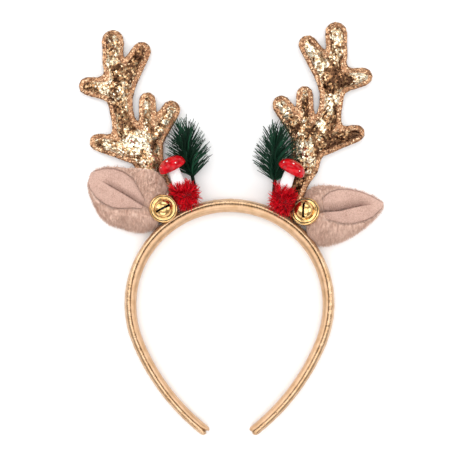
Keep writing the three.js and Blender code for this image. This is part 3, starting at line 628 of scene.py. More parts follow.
class HEADBAND_OT_band(bpy.types.Operator):
    """Wraps the hoop in a gathered leatherette cover and lines the side against the head"""

    bl_idname = "headband.band"
    bl_label = "Band"

    def execute(self, context):
        sizes = context.scene.headband_band
        cover_foil = leatherette_material(
            "Gold leatherette", tuple(sizes.cover_colour), srgb(0xBE976E), roughness=0.22, crinkle=0.5
        )
        lining_foil = leatherette_material(
            "Tan leatherette lining", tuple(sizes.lining_colour), srgb(0xC69E76), roughness=0.42, crinkle=0.3
        )
        strips = (
            ("band_cover", COVER_SECTION, cover_foil, "band_leather", "band"),
            ("head_lining", LINING_SECTION, lining_foil, "lining_leather", "band_lining"),
        )
        for lining, (name, section, foil, slot, node) in enumerate(strips):
            piece = new_piece(name, swept_strip(section, step=0.7), foil, slot, node)
            gather_strip(piece, sizes, lining)
        return {"FINISHED"}


# Antlers

# How high the sewn edge lies above the table, in millimetres
ANTLER_MIDDLE = 4.4
# How far up and down from the sewn edge the rim is flat, where it ends and where its stitched groove runs, and
# how far the rim spreads, in millimetres
RIM_FLAT = 1.1
RIM_END = 1.45
RIM_GROOVE = 1.3
RIM_SPREAD = 0.6


class AntlerSizes(bpy.types.PropertyGroup):
    flake: bpy.props.FloatProperty(
        name="Flake", description="Width of one flake of glitter", default=1.3 * MM, unit="LENGTH"
    )
    colour: bpy.props.FloatVectorProperty(
        name="Glitter", description="Main colour of the antlers", default=srgb(0xBA8E62), subtype="COLOR"
    )


class HEADBAND_OT_antlers(bpy.types.Operator):
    """Pads the two antlers inside their stitched rims and covers them with glitter"""

    bl_idname = "headband.antlers"
    bl_label = "Antlers"

    def execute(self, context):
        sizes = context.scene.headband_antlers
        # Dark brown to cream round the antlers' own colour: painted shade and painted glints on the flakes
        tones = (
            (0.2, srgb(0x452A18)), (0.38, srgb(0x7E573A)), (0.52, tuple(sizes.colour)),
            (0.64, srgb(0xE6CBA2)), (0.76, srgb(0xFFF4DA)),
        )
        # The rim's copper, with milder painted glints
        rim_tones_and_glints = (
            (0.1, srgb(0x744C34)), (0.4, srgb(0x966A4A)), (0.7, srgb(0xB08460)), (0.95, srgb(0xE0BC98)),
        )
        glitter = glitter_material(
            "Copper glitter cloth", sizes.flake / MM, tilt=0.95, crumple=1.6, body_tones_and_glints=tones,
            rim_tones_and_glints=rim_tones_and_glints,
        )
        for side in SIDES:
            node = "antler_" + side
            piece = new_piece("glitter_" + node, merged_copy(node), glitter, "glitter", node)
            remesh(piece, voxel=0.8)
            middle = ANTLER_MIDDLE * MM
            inflate(
                piece, pressure=30, most=0.8,
                held=lambda at: smooth_step(2.4 * MM, 1.2 * MM, abs(at.z - middle)),
            )
            soften(piece, rounds=2, finer=True)
            rims = []
            seams_and_shade = []
            for vertex, facing in points_with_normals(piece.data):
                high = abs(vertex.co.z - middle) / MM
                rim = smooth_step(RIM_END, RIM_FLAT, high)
                flat = Vector((facing.x, facing.y, 0))
                if rim > 0:
                    vertex.co += flat * RIM_SPREAD * MM * rim
                else:
                    at = vertex.co / (6 * MM)
                    puff = 0.34 * noise.noise(at) + 0.16 * noise.noise(at * 2.7)
                    vertex.co += facing * puff * MM * smooth_step(RIM_END, 3.0, high)
                rims.append(rim)
                # A dark line along the stitched groove, on the antler's sides only: painted shade in the groove
                groove = smooth_step(0.38, 0.0, abs(high - RIM_GROOVE))
                groove *= smooth_step(0.9, 0.5, facing.z ** 2)
                seams_and_shade.append(0.75 * groove)
            settle(piece)
            set_attribute(piece.data, "rim", rims)
            set_attribute(piece.data, "seam", seams_and_shade)
        return {"FINISHED"}


# Ears

EAR_LENGTH = 51
EAR_HALF_WIDTH = 24
EAR_PLACES = {
    "left": {"angle": 33.9, "off": 11, "rise": 16.8},
    "right": {"angle": 41.3, "off": 8.9, "rise": 7},
}

# Rows of (along, fold, crease, brim): where the lining's two edges and its crease lie at each share of the
# ear's length, as shares of its half width
EAR_LINES = {
    "left": (
        (0.0, -0.31, -0.3, -0.2), (0.2, -0.32, -0.22, -0.05), (0.3, -0.36, -0.17, 0.15),
        (0.42, -0.45, -0.1, 0.4), (0.56, -0.52, -0.03, 0.5), (0.7, -0.48, 0.04, 0.52),
        (0.82, -0.38, 0.1, 0.45), (0.92, -0.2, 0.1, 0.33), (1.0, -0.02, 0.1, 0.22),
    ),
    "right": (
        (0.0, -0.08, 0.0, 0.1), (0.2, -0.18, 0.02, 0.41), (0.3, -0.27, 0.01, 0.54),
        (0.42, -0.37, 0.0, 0.59), (0.56, -0.4, 0.04, 0.55), (0.7, -0.36, 0.07, 0.45),
        (0.82, -0.27, 0.07, 0.32), (0.92, -0.12, 0.05, 0.17), (1.0, -0.01, 0.04, 0.09),
    ),
}

# How an ear is creased: from and to as shares of its length, how far the hollow above the crease is pressed
# in and the lip below it stands up, and how far both reach from the crease, in millimetres
CREASES = {
    "left": {"from": 0.16, "to": 0.8, "hollow": 1.1, "lip": 0.7, "reach": 4.0},
    "right": {"from": 0.1, "to": 0.8, "hollow": 2.4, "lip": 1.2, "reach": 7.0},
}


class EarSizes(bpy.types.PropertyGroup):
    pile_length: bpy.props.FloatProperty(
        name="Pile length", description="Length of the plush's pile", default=1.9 * MM, unit="LENGTH"
    )
    pile_density: bpy.props.FloatProperty(
        name="Pile density", description="Tufts in each square metre of plush", default=4.8e6
    )
    plush_colour: bpy.props.FloatVectorProperty(
        name="Plush", description="Colour of the ears", default=srgb(0xF2D6C6), subtype="COLOR"
    )
    lining_colour: bpy.props.FloatVectorProperty(
        name="Lining", description="Colour of the ears' inside", default=srgb(0xD3B1A2), subtype="COLOR"
    )


def ear_place(side):
    """An ear's own frame: X out along it, Y across it and Z up from the table."""
    place = EAR_PLACES[side]
    hand = SIDES[side]
    at = beside_band(hand, place["angle"], place["off"], 0)
    rise = Matrix.Rotation(math.radians(hand * place["rise"]), 4, "Z")
    return Matrix.Translation(at) @ rise @ Matrix.Diagonal((hand, 1, 1, 1))


def ear_lines(side, along):
    """How far across the ear the lining's fold, crease and brim lie at a share of its length, in
    millimetres."""
    rows = EAR_LINES[side]
    for low, high in zip(rows, rows[1:]):
        if along <= high[0] or high is rows[-1]:
            share = min(1, max(0, (along - low[0]) / (high[0] - low[0])))
            lines = zip(low[1:], high[1:])
            return [(here + (there - here) * share) * EAR_HALF_WIDTH for here, there in lines]


def crease_ear(piece, side, lining):
    """Presses the crease into a piece of an ear, and stores how much painted shade each point takes in the
    crease and the hollow above it, or how near it lies to a seam.
    """
    inverse = ear_place(side).inverted()
    crease = CREASES[side]
    crease_shades_and_seams = []
    for vertex, facing in points_with_normals(piece.data):
        at = inverse @ vertex.co
        along = at.x / (EAR_LENGTH * MM)
        across = at.y / MM
        fold_line, crease_line, brim_line = ear_lines(side, along)
        beyond = across - crease_line
        ends = smooth_step(crease["from"] - 0.06, crease["from"] + 0.1, along)
        ends *= smooth_step(crease["to"] + 0.06, crease["to"] - 0.12, along)
        facing = smooth_step(0.1, 0.5, facing.z)
        if beyond > 0:
            move = -crease["hollow"] * smooth_step(crease["reach"], 0.0, beyond)
        else:
            move = crease["lip"] * smooth_step(-crease["reach"], 0.0, beyond)
        if lining:
            vertex.co.z += move * ends * MM
        else:
            vertex.co.z += (move * ends - 0.25 * ends) * MM * facing
        # Painted shade: a dark line along the crease and a softer shade in the hollow above it, on surfaces
        # that face up
        fold = 0.85 * ends * smooth_step(0.55, 0.05, abs(beyond - 0.15))
        hollow = 0.3 * ends * smooth_step(4.5, 0.3, beyond) if beyond > 0 else 0
        edge = min(abs(across - brim_line), abs(across - fold_line))
        if lining:
            seam = 0.55 * smooth_step(0.75, 0.25, edge) * smooth_step(0.12, 0.25, along)
        else:
            seam = 0.35 * smooth_step(1.1, 0.2, edge) * smooth_step(0.12, 0.25, along) * facing
        crease_shades_and_seams.append(max(fold * facing, hollow * facing, seam))
    set_attribute(piece.data, "fold", crease_shades_and_seams)


def grow_pile(piece, sizes, seed):
    """Grows a short pile out of a piece, combed down towards the wearer, and joins it to its surface. The
    side that lies on the table is pressed flat and has none."""
    length = sizes.pile_length
    blade = bmesh.new()
    bmesh.ops.create_cone(
        blade, cap_ends=False, segments=3, radius1=0.14 * MM, radius2=0.02 * MM, depth=length,
        matrix=Matrix.Translation((0, 0, length * 0.42)),
    )
    mesh = mesh_of("blade", blade)
    mesh.materials.append(piece.data.materials[0])
    template = bpy.data.objects.new("blade", mesh)
    tree = bpy.data.node_groups.new("Plush pile", "GeometryNodeTree")
    tree.interface.new_socket("Geometry", in_out="INPUT", socket_type="NodeSocketGeometry")
    tree.interface.new_socket("Geometry", in_out="OUTPUT", socket_type="NodeSocketGeometry")
    skin = add_node(tree, "NodeGroupInput").outputs[0]
    normal = add_node(tree, "GeometryNodeInputNormal").outputs[0]
    facing = add_node(tree, "ShaderNodeSeparateXYZ", {0: normal})
    shown = add_node(
        tree, "FunctionNodeCompare", {0: facing.outputs["Z"], 1: -0.35}, data_type="FLOAT",
        operation="GREATER_THAN",
    )
    roots = add_node(
        tree, "GeometryNodeDistributePointsOnFaces",
        {"Mesh": skin, "Selection": shown.outputs[0], "Density": sizes.pile_density, "Seed": seed},
    )
    source = add_node(tree, "GeometryNodeObjectInfo", {"Object": template})
    wild = add_node(
        tree, "FunctionNodeRandomValue", {0: (-0.3, -1.25, -0.35), 1: (0.3, -0.45, 0.1), "Seed": seed + 1},
        data_type="FLOAT_VECTOR",
    )
    lay = add_node(
        tree, "ShaderNodeVectorMath", {0: roots.outputs["Normal"], 1: wild.outputs[0]}, operation="ADD"
    )
    aim = add_node(tree, "FunctionNodeAlignRotationToVector", {"Vector": lay.outputs[0]}, axis="Z")
    size = add_node(tree, "FunctionNodeRandomValue", {2: 0.6, 3: 1.25, "Seed": seed + 2})
    blades = add_node(
        tree, "GeometryNodeInstanceOnPoints",
        {
            "Points": roots.outputs["Points"], "Instance": source.outputs["Geometry"],
            "Rotation": aim.outputs["Rotation"], "Scale": size.outputs[1],
        },
    )
    real = add_node(tree, "GeometryNodeRealizeInstances", {0: blades.outputs["Instances"]})
    both = add_node(tree, "GeometryNodeJoinGeometry", {0: skin})
    tree.links.new(real.outputs[0], both.inputs[0])
    add_node(tree, "NodeGroupOutput", {0: both.outputs[0]})
    piece.modifiers.new("Pile", "NODES").node_group = tree
    keep_result(piece)
    bpy.data.objects.remove(template)


class HEADBAND_OT_ears(bpy.types.Operator):
    """Stuffs the two plush ears, sews in their linings and grows their pile"""

    bl_idname = "headband.ears"
    bl_label = "Ears"

    def execute(self, context):
        sizes = context.scene.headband_ears
        plush = cloth_material(
            "Taupe plush", tuple(sizes.plush_colour), srgb(0xD0AC98), nap=1.1, sheen=0.2,
            streak=(1.0, 0.28, 1.0),
        )
        suede = cloth_material(
            "Brushed suede cloth", tuple(sizes.lining_colour), srgb(0xB99688), nap=0.7, sheen=0.15,
            streak=(1.0, 0.7, 1.0),
        )
        for seed, side in enumerate(SIDES):
            node = "ear_" + side
            piece = new_piece("plush_" + node, merged_copy(node), plush, "plush", node)
            remesh(piece, voxel=0.95)
            inflate(piece, pressure=30, most=0.6)
            soften(piece, rounds=4, finer=True)
            crease_ear(piece, side, lining=False)
            grow_pile(piece, sizes, seed)
            settle(piece)
            node = "ear_lining_" + side
            lining = new_piece("suede_" + node, merged_copy(node), suede, "suede", node)
            remesh(lining, voxel=0.42)
            soften(lining, rounds=5, finer=False)
            crease_ear(lining, side, lining=True)
        return {"FINISHED"}


# Bells

BELL_RADIUS = 8.4
# The slot's round ends are wider than the slit between them
SLOT_RADIUS = 1.25
SLOT_WIDTH = 1.4
# A bell's section as (out, up), in shares of its radius from its middle: back, rim, channel and dome
BELL_SECTION = (
    (0, -1), (0.28, -0.96), (0.55, -0.83), (0.79, -0.61), (0.93, -0.36), (0.98, -0.16), (1.04, -0.13),
    (1.09, -0.04), (1.09, 0.06), (1.05, 0.14), (0.99, 0.17), (0.94, 0.15), (0.91, 0.13), (0.87, 0.14),
    (0.81, 0.155), (0.75, 0.165), (0.715, 0.2), (0.7, 0.32), (0.7, 0.46), (0.67, 0.62), (0.6, 0.75),
    (0.48, 0.865), (0.32, 0.94), (0.15, 0.978), (0, 0.985),
)
# How far above the table a bell's back lies, in millimetres
BELL_SEAT = 5.8
# Where each bell is sewn: its angle on the crown, how many of its radii it lies off the band, its tilt and turn
BELL_PLACES = {
    "left": {"angle": 34.3, "off": 0.786, "tilt": 0, "turn": 27},
    "right": {"angle": 39, "off": 1.06, "tilt": 20, "turn": 86},
}


class BellSizes(bpy.types.PropertyGroup):
    radius: bpy.props.FloatProperty(
        name="Radius", description="Radius of a bell's back", default=BELL_RADIUS * MM, unit="LENGTH"
    )
    wall: bpy.props.FloatProperty(
        name="Wall", description="Thickness of a bell's wall", default=0.8 * MM, unit="LENGTH"
    )
    slot_length: bpy.props.FloatProperty(
        name="Slot length", description="Between the middles of the slot's round ends", default=10.6 * MM,
        unit="LENGTH",
    )
    colour: bpy.props.FloatVectorProperty(
        name="Brass", description="Colour of the bells", default=srgb(0xF2CB8E), subtype="COLOR"
    )


def bell_place(side):
    place = BELL_PLACES[side]
    at = beside_band(SIDES[side], place["angle"], place["off"] * BELL_RADIUS, BELL_SEAT + BELL_RADIUS)
    tilt = Matrix.Rotation(math.radians(-place["tilt"]), 4, Vector((1, 1, 0)).normalized())
    return Matrix.Translation(at) @ tilt @ Matrix.Rotation(math.radians(place["turn"]), 4, "Z")


def slot_cutter(sizes):
    """The bell's slot with its round ends, tall enough to pass through the dome."""
    shape = bmesh.new()
    tall = sizes.radius
    for end in (-1, 1):
        place = Matrix.Translation((end * sizes.slot_length / 2, 0, tall))
        bmesh.ops.create_cone(
            shape, cap_ends=True, segments=20, radius1=SLOT_RADIUS * MM, radius2=SLOT_RADIUS * MM,
            depth=tall, matrix=place,
        )
    size = Matrix.Diagonal((sizes.slot_length, SLOT_WIDTH * MM, tall * 0.98, 1))
    bmesh.ops.create_cube(shape, size=1, matrix=Matrix.Translation((0, 0, tall)) @ size)
    return new_object("slot", mesh_of("slot", shape))


class HEADBAND_OT_bells(bpy.types.Operator):
    """Stamps the two jingle bells with their rims, channels and slots, and drops a pellet in each"""

    bl_idname = "headband.bells"
    bl_label = "Bells"

    def execute(self, context):
        sizes = context.scene.headband_bells
        brass = brass_material(tuple(sizes.colour))
        steel = moulded_material(
            "Tumbled steel", srgb(0xB4B4B2), srgb(0x8C8C8A), blotch=1.5, roughness=0.35, unevenness=0.05,
            Metallic=1.0,
        )
        # The inner wall is near black: painted shade inside the bell, so that its slot reads dark
        inner_shade = moulded_material(
            "Painted shade inside the bell", srgb(0x1D1408), srgb(0x0C0804), blotch=1.5, roughness=0.6,
            unevenness=0.05,
        )
        section = [(out * sizes.radius, up * sizes.radius) for out, up in BELL_SECTION]
        for side in SIDES:
            shell = spun_shape(section, steps=72)
            bmesh.ops.solidify(shell, geom=shell.faces, thickness=sizes.wall)
            for face in shell.faces:
                inside = face.normal.dot(face.calc_center_median()) < 0
                face.material_index = int(inside)
            bell = new_piece("brass_bell_" + side, shell, brass, "brass", "bell_" + side)
            bell.data.materials.append(inner_shade)
            cutter = slot_cutter(sizes)
            cut = bell.modifiers.new("Slot", "BOOLEAN")
            cut.object = cutter
            cut.solver = "EXACT"
            cut.use_self = True
            keep_result(bell)
            bpy.data.objects.remove(cutter)
            bell.data.transform(bell_place(side))
            pellet = bmesh.new()
            low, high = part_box("bell_pellet_" + side)
            middle = Matrix.Translation((low + high) / 2)
            bmesh.ops.create_icosphere(pellet, subdivisions=3, radius=(high.z - low.z) / 2, matrix=middle)
            new_piece("steel_pellet_" + side, pellet, steel, "steel", "bell_pellet_" + side)
        return {"FINISHED"}


# Pompoms

POMPOM_LENGTH = 23
POMPOM_WIDTH = 18
TINSEL_WIDTH = 18.4
RIBBON_LENGTH = 6
CORE_SHARE = 0.66
# No strip reaches nearer than this to the middle of a bell, so that the bell stands clear
BELL_CLEARANCE = 9.6
GOLDEN_TURN = math.pi * (3 - math.sqrt(5))


class PompomSizes(bpy.types.PropertyGroup):
    ribbons: bpy.props.IntProperty(
        name="Ribbons", description="Number of cut strips in a pompom", default=900
    )
    collar_ribbons: bpy.props.IntProperty(
        name="Collar ribbons", description="Number of strips that stand round the toadstool's foot",
        default=130,
    )
    ribbon_width: bpy.props.FloatProperty(
        name="Ribbon width", description="Width of one strip of tinsel", default=0.85 * MM, unit="LENGTH"
    )
    colour: bpy.props.FloatVectorProperty(
        name="Tinsel", description="Colour of the pompoms", default=srgb(0xE4001A), subtype="COLOR"
    )


def ribbon_template(width, length):
    """A narrow strip of foil, thinner than it is wide, that curls over to a point."""
    shape = bmesh.new()
    bmesh.ops.create_cone(
        shape, cap_ends=True, segments=4, radius1=width / 2, radius2=width * 0.36, depth=length,
        matrix=Matrix.Translation((0, 0, length / 2)) @ Matrix.Rotation(math.radians(45), 4, "Z"),
    )
    upright = [edge for edge in shape.edges if abs(edge.verts[0].co.z - edge.verts[1].co.z) > length / 2]
    bmesh.ops.subdivide_edges(shape, edges=upright, cuts=2, use_grid_fill=True)
    for vertex in shape.verts:
        share = vertex.co.z / length
        vertex.co.y = vertex.co.y * 0.22 + share * share * length * 0.22
        vertex.co.x *= 1 - 0.5 * share ** 3
    return mesh_of("ribbon", shape)


class HEADBAND_OT_pompoms(bpy.types.Operator):
    """Packs cut tinsel round the middle of each pompom"""

    bl_idname = "headband.pompoms"
    bl_label = "Pompoms"

    def execute(self, context):
        sizes = context.scene.headband_pompoms
        tinsel = strand_material(
            "Red foil tinsel",
            (
                (0.1, srgb(0x7A000A)), (0.38, srgb(0xC20012)), (0.7, tuple(sizes.colour)),
                (0.95, srgb(0xF82C3C)),
            ),
            roughness=0.4,
        )
        for number, side in enumerate(SIDES):
            low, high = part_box("pompom_" + side)
            chance = random.Random(40 + number)
            middle = (low + high) / 2
            half = Vector((POMPOM_LENGTH, TINSEL_WIDTH, TINSEL_WIDTH)) / 2 * MM
            turn = Matrix.Rotation(math.radians(-SIDES[side] * TOADSTOOL_PLACES[side]["angle"]), 3, "Z")
            length = RIBBON_LENGTH * MM
            strips = []
            for count in range(sizes.ribbons):
                height = 1 - (2 * count + 1) / sizes.ribbons
                spin = count * GOLDEN_TURN
                across = math.sqrt(1 - height * height)
                way = Vector((across * math.cos(spin), height, across * math.sin(spin)))
                way += Vector([chance.uniform(-0.16, 0.16) for _ in range(3)])
                way.normalize()
                reach = chance.uniform(0.42, 0.62)
                root = middle + turn @ (way * half) * reach
                scale = chance.uniform(0.5, 1.05)
                aim = turn @ (way + Vector([chance.uniform(-0.6, 0.6) for _ in range(3)])).normalized()
                strips.append((root, aim, scale))
            upright = stalk_place(side)
            for count in range(sizes.collar_ribbons):
                spin = math.radians(chance.uniform(-15, 195))
                out = Vector((math.cos(spin), -math.sin(spin), 0))
                root = out * chance.uniform(3.6, 5.2) * MM + Vector((0, 0, chance.uniform(-2.5, 0.6) * MM))
                aim = Vector((0, 0, 1)) + out * chance.uniform(0, 0.9)
                aim += Vector((chance.uniform(-0.6, 0.6), chance.uniform(-0.3, 0.3), 0))
                scale = chance.uniform(0.5, 0.95)
                strips.append((upright @ root, (upright.to_3x3() @ aim).normalized(), scale))
            bell = bell_place(side).translation
            places = []
            shades = []
            for root, aim, scale in strips:
                tip = root + aim * length * scale
                turned = chance.uniform(0, math.tau)
                shade = chance.random()
                if min((tip - bell).xy.length, (root - bell).xy.length) > BELL_CLEARANCE * MM:
                    places.append(aimed(root, aim, turned, (1, 1, scale)))
                    shades.append(shade)
            template = ribbon_template(sizes.ribbon_width, length)
            shape = joined_copies(template, places, shades)
            place = Matrix.Translation(middle) @ turn.to_4x4() @ Matrix.Diagonal((*(half * CORE_SHARE), 1))
            bmesh.ops.create_icosphere(shape, subdivisions=3, radius=1, matrix=place)
            new_piece("tinsel_pompom_" + side, shape, tinsel, "tinsel", "pompom_" + side)
        return {"FINISHED"}


# Toadstools

# Where each toadstool stands: its pompom's angle on the crown and how many of its widths that lies off the
# band, how far along the pompom the foot is and how far up, in shares, and the lean of stalk and cap
TOADSTOOL_PLACES = {
    "left": {"angle": 22.5, "off": 0.422, "at": 0.01, "lean": 20, "cap_lean": 7, "up": 0.25},
    "right": {"angle": 28.7, "off": 0.378, "at": -0.22, "lean": 20, "cap_lean": 9, "up": 0.305},
}
STALK_LENGTH = 15.5
STALK_SEAT = 0.3
CAP_SINK = 1.6
CAP_TILT = 16
CAP_DOME = 6.0
CAP_RADIUS = 9.2
# A cap's section as (out, up), in millimetres: hollow, brim and dome
CAP_SECTION = (
    (0, 1.0), (3.8, 1.0), (6.6, 0.45), (8.0, 0.0), (8.8, 0.02), (9.2, 0.4), (9.2, 1.0), (9.05, 2.1),
    (8.5, 3.5), (7.6, 4.7), (6.2, 5.8), (4.4, 6.5), (2.2, 6.92), (0, 7.0),
)
# Dots on a cap: degrees down from its top, degrees round it from the outside, and radius
CAP_SPOTS = {
    "left": (
        (28, 250, 0.85), (56, 208, 0.4), (62, 292, 0.45), (45, 60, 0.6), (65, 110, 0.5), (62, 160, 0.45),
        (70, 20, 0.5),
    ),
    "right": (
        (34, 262, 0.85), (62, 215, 0.4), (60, 308, 0.45), (45, 70, 0.6), (66, 120, 0.5), (60, 170, 0.45),
        (70, 30, 0.5),
    ),
}
DOT_HEIGHT = 0.32


class ToadstoolSizes(bpy.types.PropertyGroup):
    cap_radius: bpy.props.FloatProperty(
        name="Cap radius", description="Radius of a toadstool's cap", default=CAP_RADIUS * MM, unit="LENGTH"
    )
    stalk_radius: bpy.props.FloatProperty(
        name="Stalk radius", description="Radius of a stalk at its foot", default=4.1 * MM, unit="LENGTH"
    )
    cap_colour: bpy.props.FloatVectorProperty(
        name="Cap", description="Colour of the caps", default=srgb(0xD20014), subtype="COLOR"
    )
    stalk_colour: bpy.props.FloatVectorProperty(
        name="Stalk", description="Colour of the stalks", default=srgb(0xFFFFFF), subtype="COLOR"
    )


def on_pompom(side, along, up, out):
    """A place on a pompom: along it, and up and out from the band in shares of its width."""
    place = TOADSTOOL_PLACES[side]
    hand = SIDES[side]
    off = (place["off"] + out) * POMPOM_WIDTH
    at = beside_band(hand, place["angle"], off, BAND_DEPTH + up * POMPOM_WIDTH)
    way = outwards(place["angle"] + 90) * along * POMPOM_LENGTH * MM
    return at + Vector((hand * way.x, way.y, 0))


def stalk_place(side):
    """A stalk's foot, with Z up the stalk."""
    place = TOADSTOOL_PLACES[side]
    lean = Matrix.Rotation(math.radians(-SIDES[side] * place["lean"]), 4, "Z")
    foot = on_pompom(side, place["at"], place["up"], STALK_SEAT)
    return Matrix.Translation(foot) @ lean @ Matrix.Rotation(math.radians(-90), 4, "X")


def cap_place(side):
    lean = Matrix.Rotation(math.radians(-SIDES[side] * TOADSTOOL_PLACES[side]["cap_lean"]), 4, "Z")
    upright = Matrix.Rotation(math.radians(-90), 4, "X")
    tilt = Matrix.Rotation(math.radians(CAP_TILT), 4, "X")
    seat = Matrix.Translation((0, 0, (STALK_LENGTH - CAP_SINK) * MM))
    return stalk_place(side) @ seat @ upright.inverted() @ lean @ tilt @ upright


class HEADBAND_OT_toadstools(bpy.types.Operator):
    """Moulds the two toadstools: lacquered caps with raised dots, on foam stalks"""

    bl_idname = "headband.toadstools"
    bl_label = "Toadstools"

    def execute(self, context):
        sizes = context.scene.headband_toadstools
        lacquer = moulded_material(
            "Red lacquer", tuple(sizes.cap_colour), srgb(0x9C000C), blotch=3, roughness=0.12,
            unevenness=0.35, Specular_IOR_Level=0.25,
        )
        foam = moulded_material(
            "White foam", tuple(sizes.stalk_colour), srgb(0xF6F4F2), blotch=1.3, roughness=0.8, unevenness=0.2
        )
        paint = moulded_material(
            "White dot paint", srgb(0xFFFFFF), srgb(0xF0EEEA), blotch=1.0, roughness=0.4, unevenness=0.05
        )
        grow = sizes.cap_radius / (CAP_RADIUS * MM)
        for side in SIDES:
            section = [(out * MM * grow, up * MM * grow) for out, up in CAP_SECTION]
            cap = spun_shape(section, steps=48)
            bmesh.ops.transform(cap, matrix=cap_place(side), verts=cap.verts)
            new_piece("lacquered_cap_" + side, cap, lacquer, "red_paint", "toadstool_cap_" + side)
            foot = sizes.stalk_radius
            tall = STALK_LENGTH * MM
            outline = (
                (0, -0.3 * MM), (foot * 0.7, -0.2 * MM), (foot * 0.98, 0.5 * MM), (foot * 1.04, tall * 0.14),
                (foot * 0.97, tall * 0.4), (foot * 0.92, tall * 0.7), (foot * 0.86, tall * 0.9),
                (foot * 0.84, tall), (0, tall),
            )
            stalk = spun_shape(outline, steps=32)
            bmesh.ops.transform(stalk, matrix=stalk_place(side), verts=stalk.verts)
            new_piece("foam_stalk_" + side, stalk, foam, "white_foam", "toadstool_stalk_" + side)
            dots = bmesh.new()
            for down, turn, radius in CAP_SPOTS[side]:
                lean = math.radians(down)
                turn = math.radians(turn)
                out = math.sin(lean)
                way = Vector((out * math.cos(turn), out * math.sin(turn), math.cos(lean)))
                seat = Vector((way.x * CAP_RADIUS, way.y * CAP_RADIUS, 1 + way.z * CAP_DOME)) * MM * grow
                up = Vector((way.x / CAP_RADIUS, way.y / CAP_RADIUS, way.z / CAP_DOME)).normalized()
                place = aimed(seat, up, scale=(radius * MM, radius * MM, DOT_HEIGHT * MM))
                bmesh.ops.create_uvsphere(dots, u_segments=20, v_segments=8, radius=1, matrix=place)
            bmesh.ops.transform(dots, matrix=cap_place(side), verts=dots.verts)
            new_piece("cap_dots_" + side, dots, paint, "white_foam")
        return {"FINISHED"}


# Pine sprigs

# Where each sprig is pushed into its pompom, in shares along and up it, and how far it leans
SPRIG_PLACES = {
    "left": {"at": -0.33, "lean": 10, "up": -0.22},
    "right": {"at": -0.38, "lean": 3, "up": -0.055},
}
SPRIG_LENGTH = 40
SPRIG_PITCH = 2
SPRIG_FLATNESS = 0.5
# A needle's angle from the stem at the sprig's foot, how much less that is at its tip, how far its own angle
# strays, and its turn from the one before, in degrees but for the turn, which is in radians
NEEDLE_SPLAY = 58
NEEDLE_CLOSING = 42
NEEDLE_STRAY = 7
NEEDLE_TURN = 2.39996
NEEDLE_BOW = 1.7


class SprigSizes(bpy.types.PropertyGroup):
    needles: bpy.props.IntProperty(name="Needles", description="Number of needles on a sprig", default=230)
    needle_length: bpy.props.FloatProperty(
        name="Needle length", description="Length of the longest needles", default=18.0 * MM, unit="LENGTH"
    )
    needle_width: bpy.props.FloatProperty(
        name="Needle width", description="Thickness of a needle", default=0.95 * MM, unit="LENGTH"
    )
    colour: bpy.props.FloatVectorProperty(
        name="Needles", description="Colour of the needles", default=srgb(0x184430), subtype="COLOR"
    )


def sprig_place(side):
    """A sprig's foot, with Z up its stem."""
    place = SPRIG_PLACES[side]
    lean = Matrix.Rotation(math.radians(-SIDES[side] * place["lean"]), 4, "Z")
    pitch = Matrix.Rotation(math.radians(SPRIG_PITCH - 90), 4, "X")
    return Matrix.Translation(on_pompom(side, place["at"], place["up"], 0)) @ lean @ pitch


class HEADBAND_OT_sprigs(bpy.types.Operator):
    """Sets needles round the stems of the two pine sprigs"""

    bl_idname = "headband.sprigs"
    bl_label = "Pine sprigs"

    def execute(self, context):
        sizes = context.scene.headband_sprigs
        finish = strand_material(
            "Moulded pine plastic",
            (
                (0.1, srgb(0x06180F)), (0.45, srgb(0x0E2E1E)), (0.75, tuple(sizes.colour)),
                (1.0, srgb(0x2C6A4A)),
            ),
            roughness=0.42,
        )
        needle = bmesh.new()
        bmesh.ops.create_cone(
            needle, cap_ends=True, segments=6, radius1=sizes.needle_width * 0.5,
            radius2=sizes.needle_width * 0.16, depth=1, matrix=Matrix.Translation((0, 0, 0.5)),
        )
        sides = [edge for edge in needle.edges if abs(edge.verts[0].co.z - edge.verts[1].co.z) > 0.5]
        bmesh.ops.subdivide_edges(needle, edges=sides, cuts=3)
        for vertex in needle.verts:
            vertex.co.x -= NEEDLE_BOW * MM * math.sin(math.pi * vertex.co.z)
        mesh = mesh_of("needle", needle)
        for number, side in enumerate(SIDES):
            chance = random.Random(70 + number)
            places = []
            shades = []
            for count in range(sizes.needles):
                share = (count + 0.5) / sizes.needles
                turn = count * NEEDLE_TURN + chance.uniform(-0.3, 0.3)
                splay = NEEDLE_SPLAY - NEEDLE_CLOSING * share ** 2.2
                splay = math.radians(splay + chance.uniform(-NEEDLE_STRAY, NEEDLE_STRAY))
                length = sizes.needle_length * (0.86 + 0.14 * math.sin(math.pi * share ** 0.7))
                length *= chance.uniform(0.8, 1.08)
                side_way = math.sin(splay) * math.cos(turn)
                flat_way = math.sin(splay) * math.sin(turn) * SPRIG_FLATNESS
                aim = Vector((side_way, flat_way, math.cos(splay))).normalized()
                root = Vector((0, 0, SPRIG_LENGTH * MM * (0.24 + 0.63 * share)))
                places.append(aimed(root, aim, scale=(1, 1, length)))
                shades.append(chance.random())
            shape = joined_copies(mesh, places, shades)
            tall = SPRIG_LENGTH * MM * 0.9
            stem = bmesh.ops.create_cone(
                shape, cap_ends=True, segments=10, radius1=1.5 * MM, radius2=0.5 * MM, depth=tall,
                matrix=Matrix.Translation((0, 0, tall / 2)),
            )["verts"]
            layer = shape.verts.layers.float["shade"]
            for vertex in stem:
                vertex[layer] = 0.05
            bmesh.ops.transform(shape, matrix=sprig_place(side), verts=shape.verts)
            settle(new_piece("pine_needles_" + side, shape, finish, "pine", "pine_sprig_" + side))
        return {"FINISHED"}


# Stage


class StageSizes(bpy.types.PropertyGroup):
    camera_height: bpy.props.FloatProperty(
        name="Camera height", description="From the table to the camera", default=0.8, unit="LENGTH"
    )
    view_width: bpy.props.FloatProperty(
        name="View width", description="Width of the table that the camera sees", default=0.3036,
        unit="LENGTH",
    )


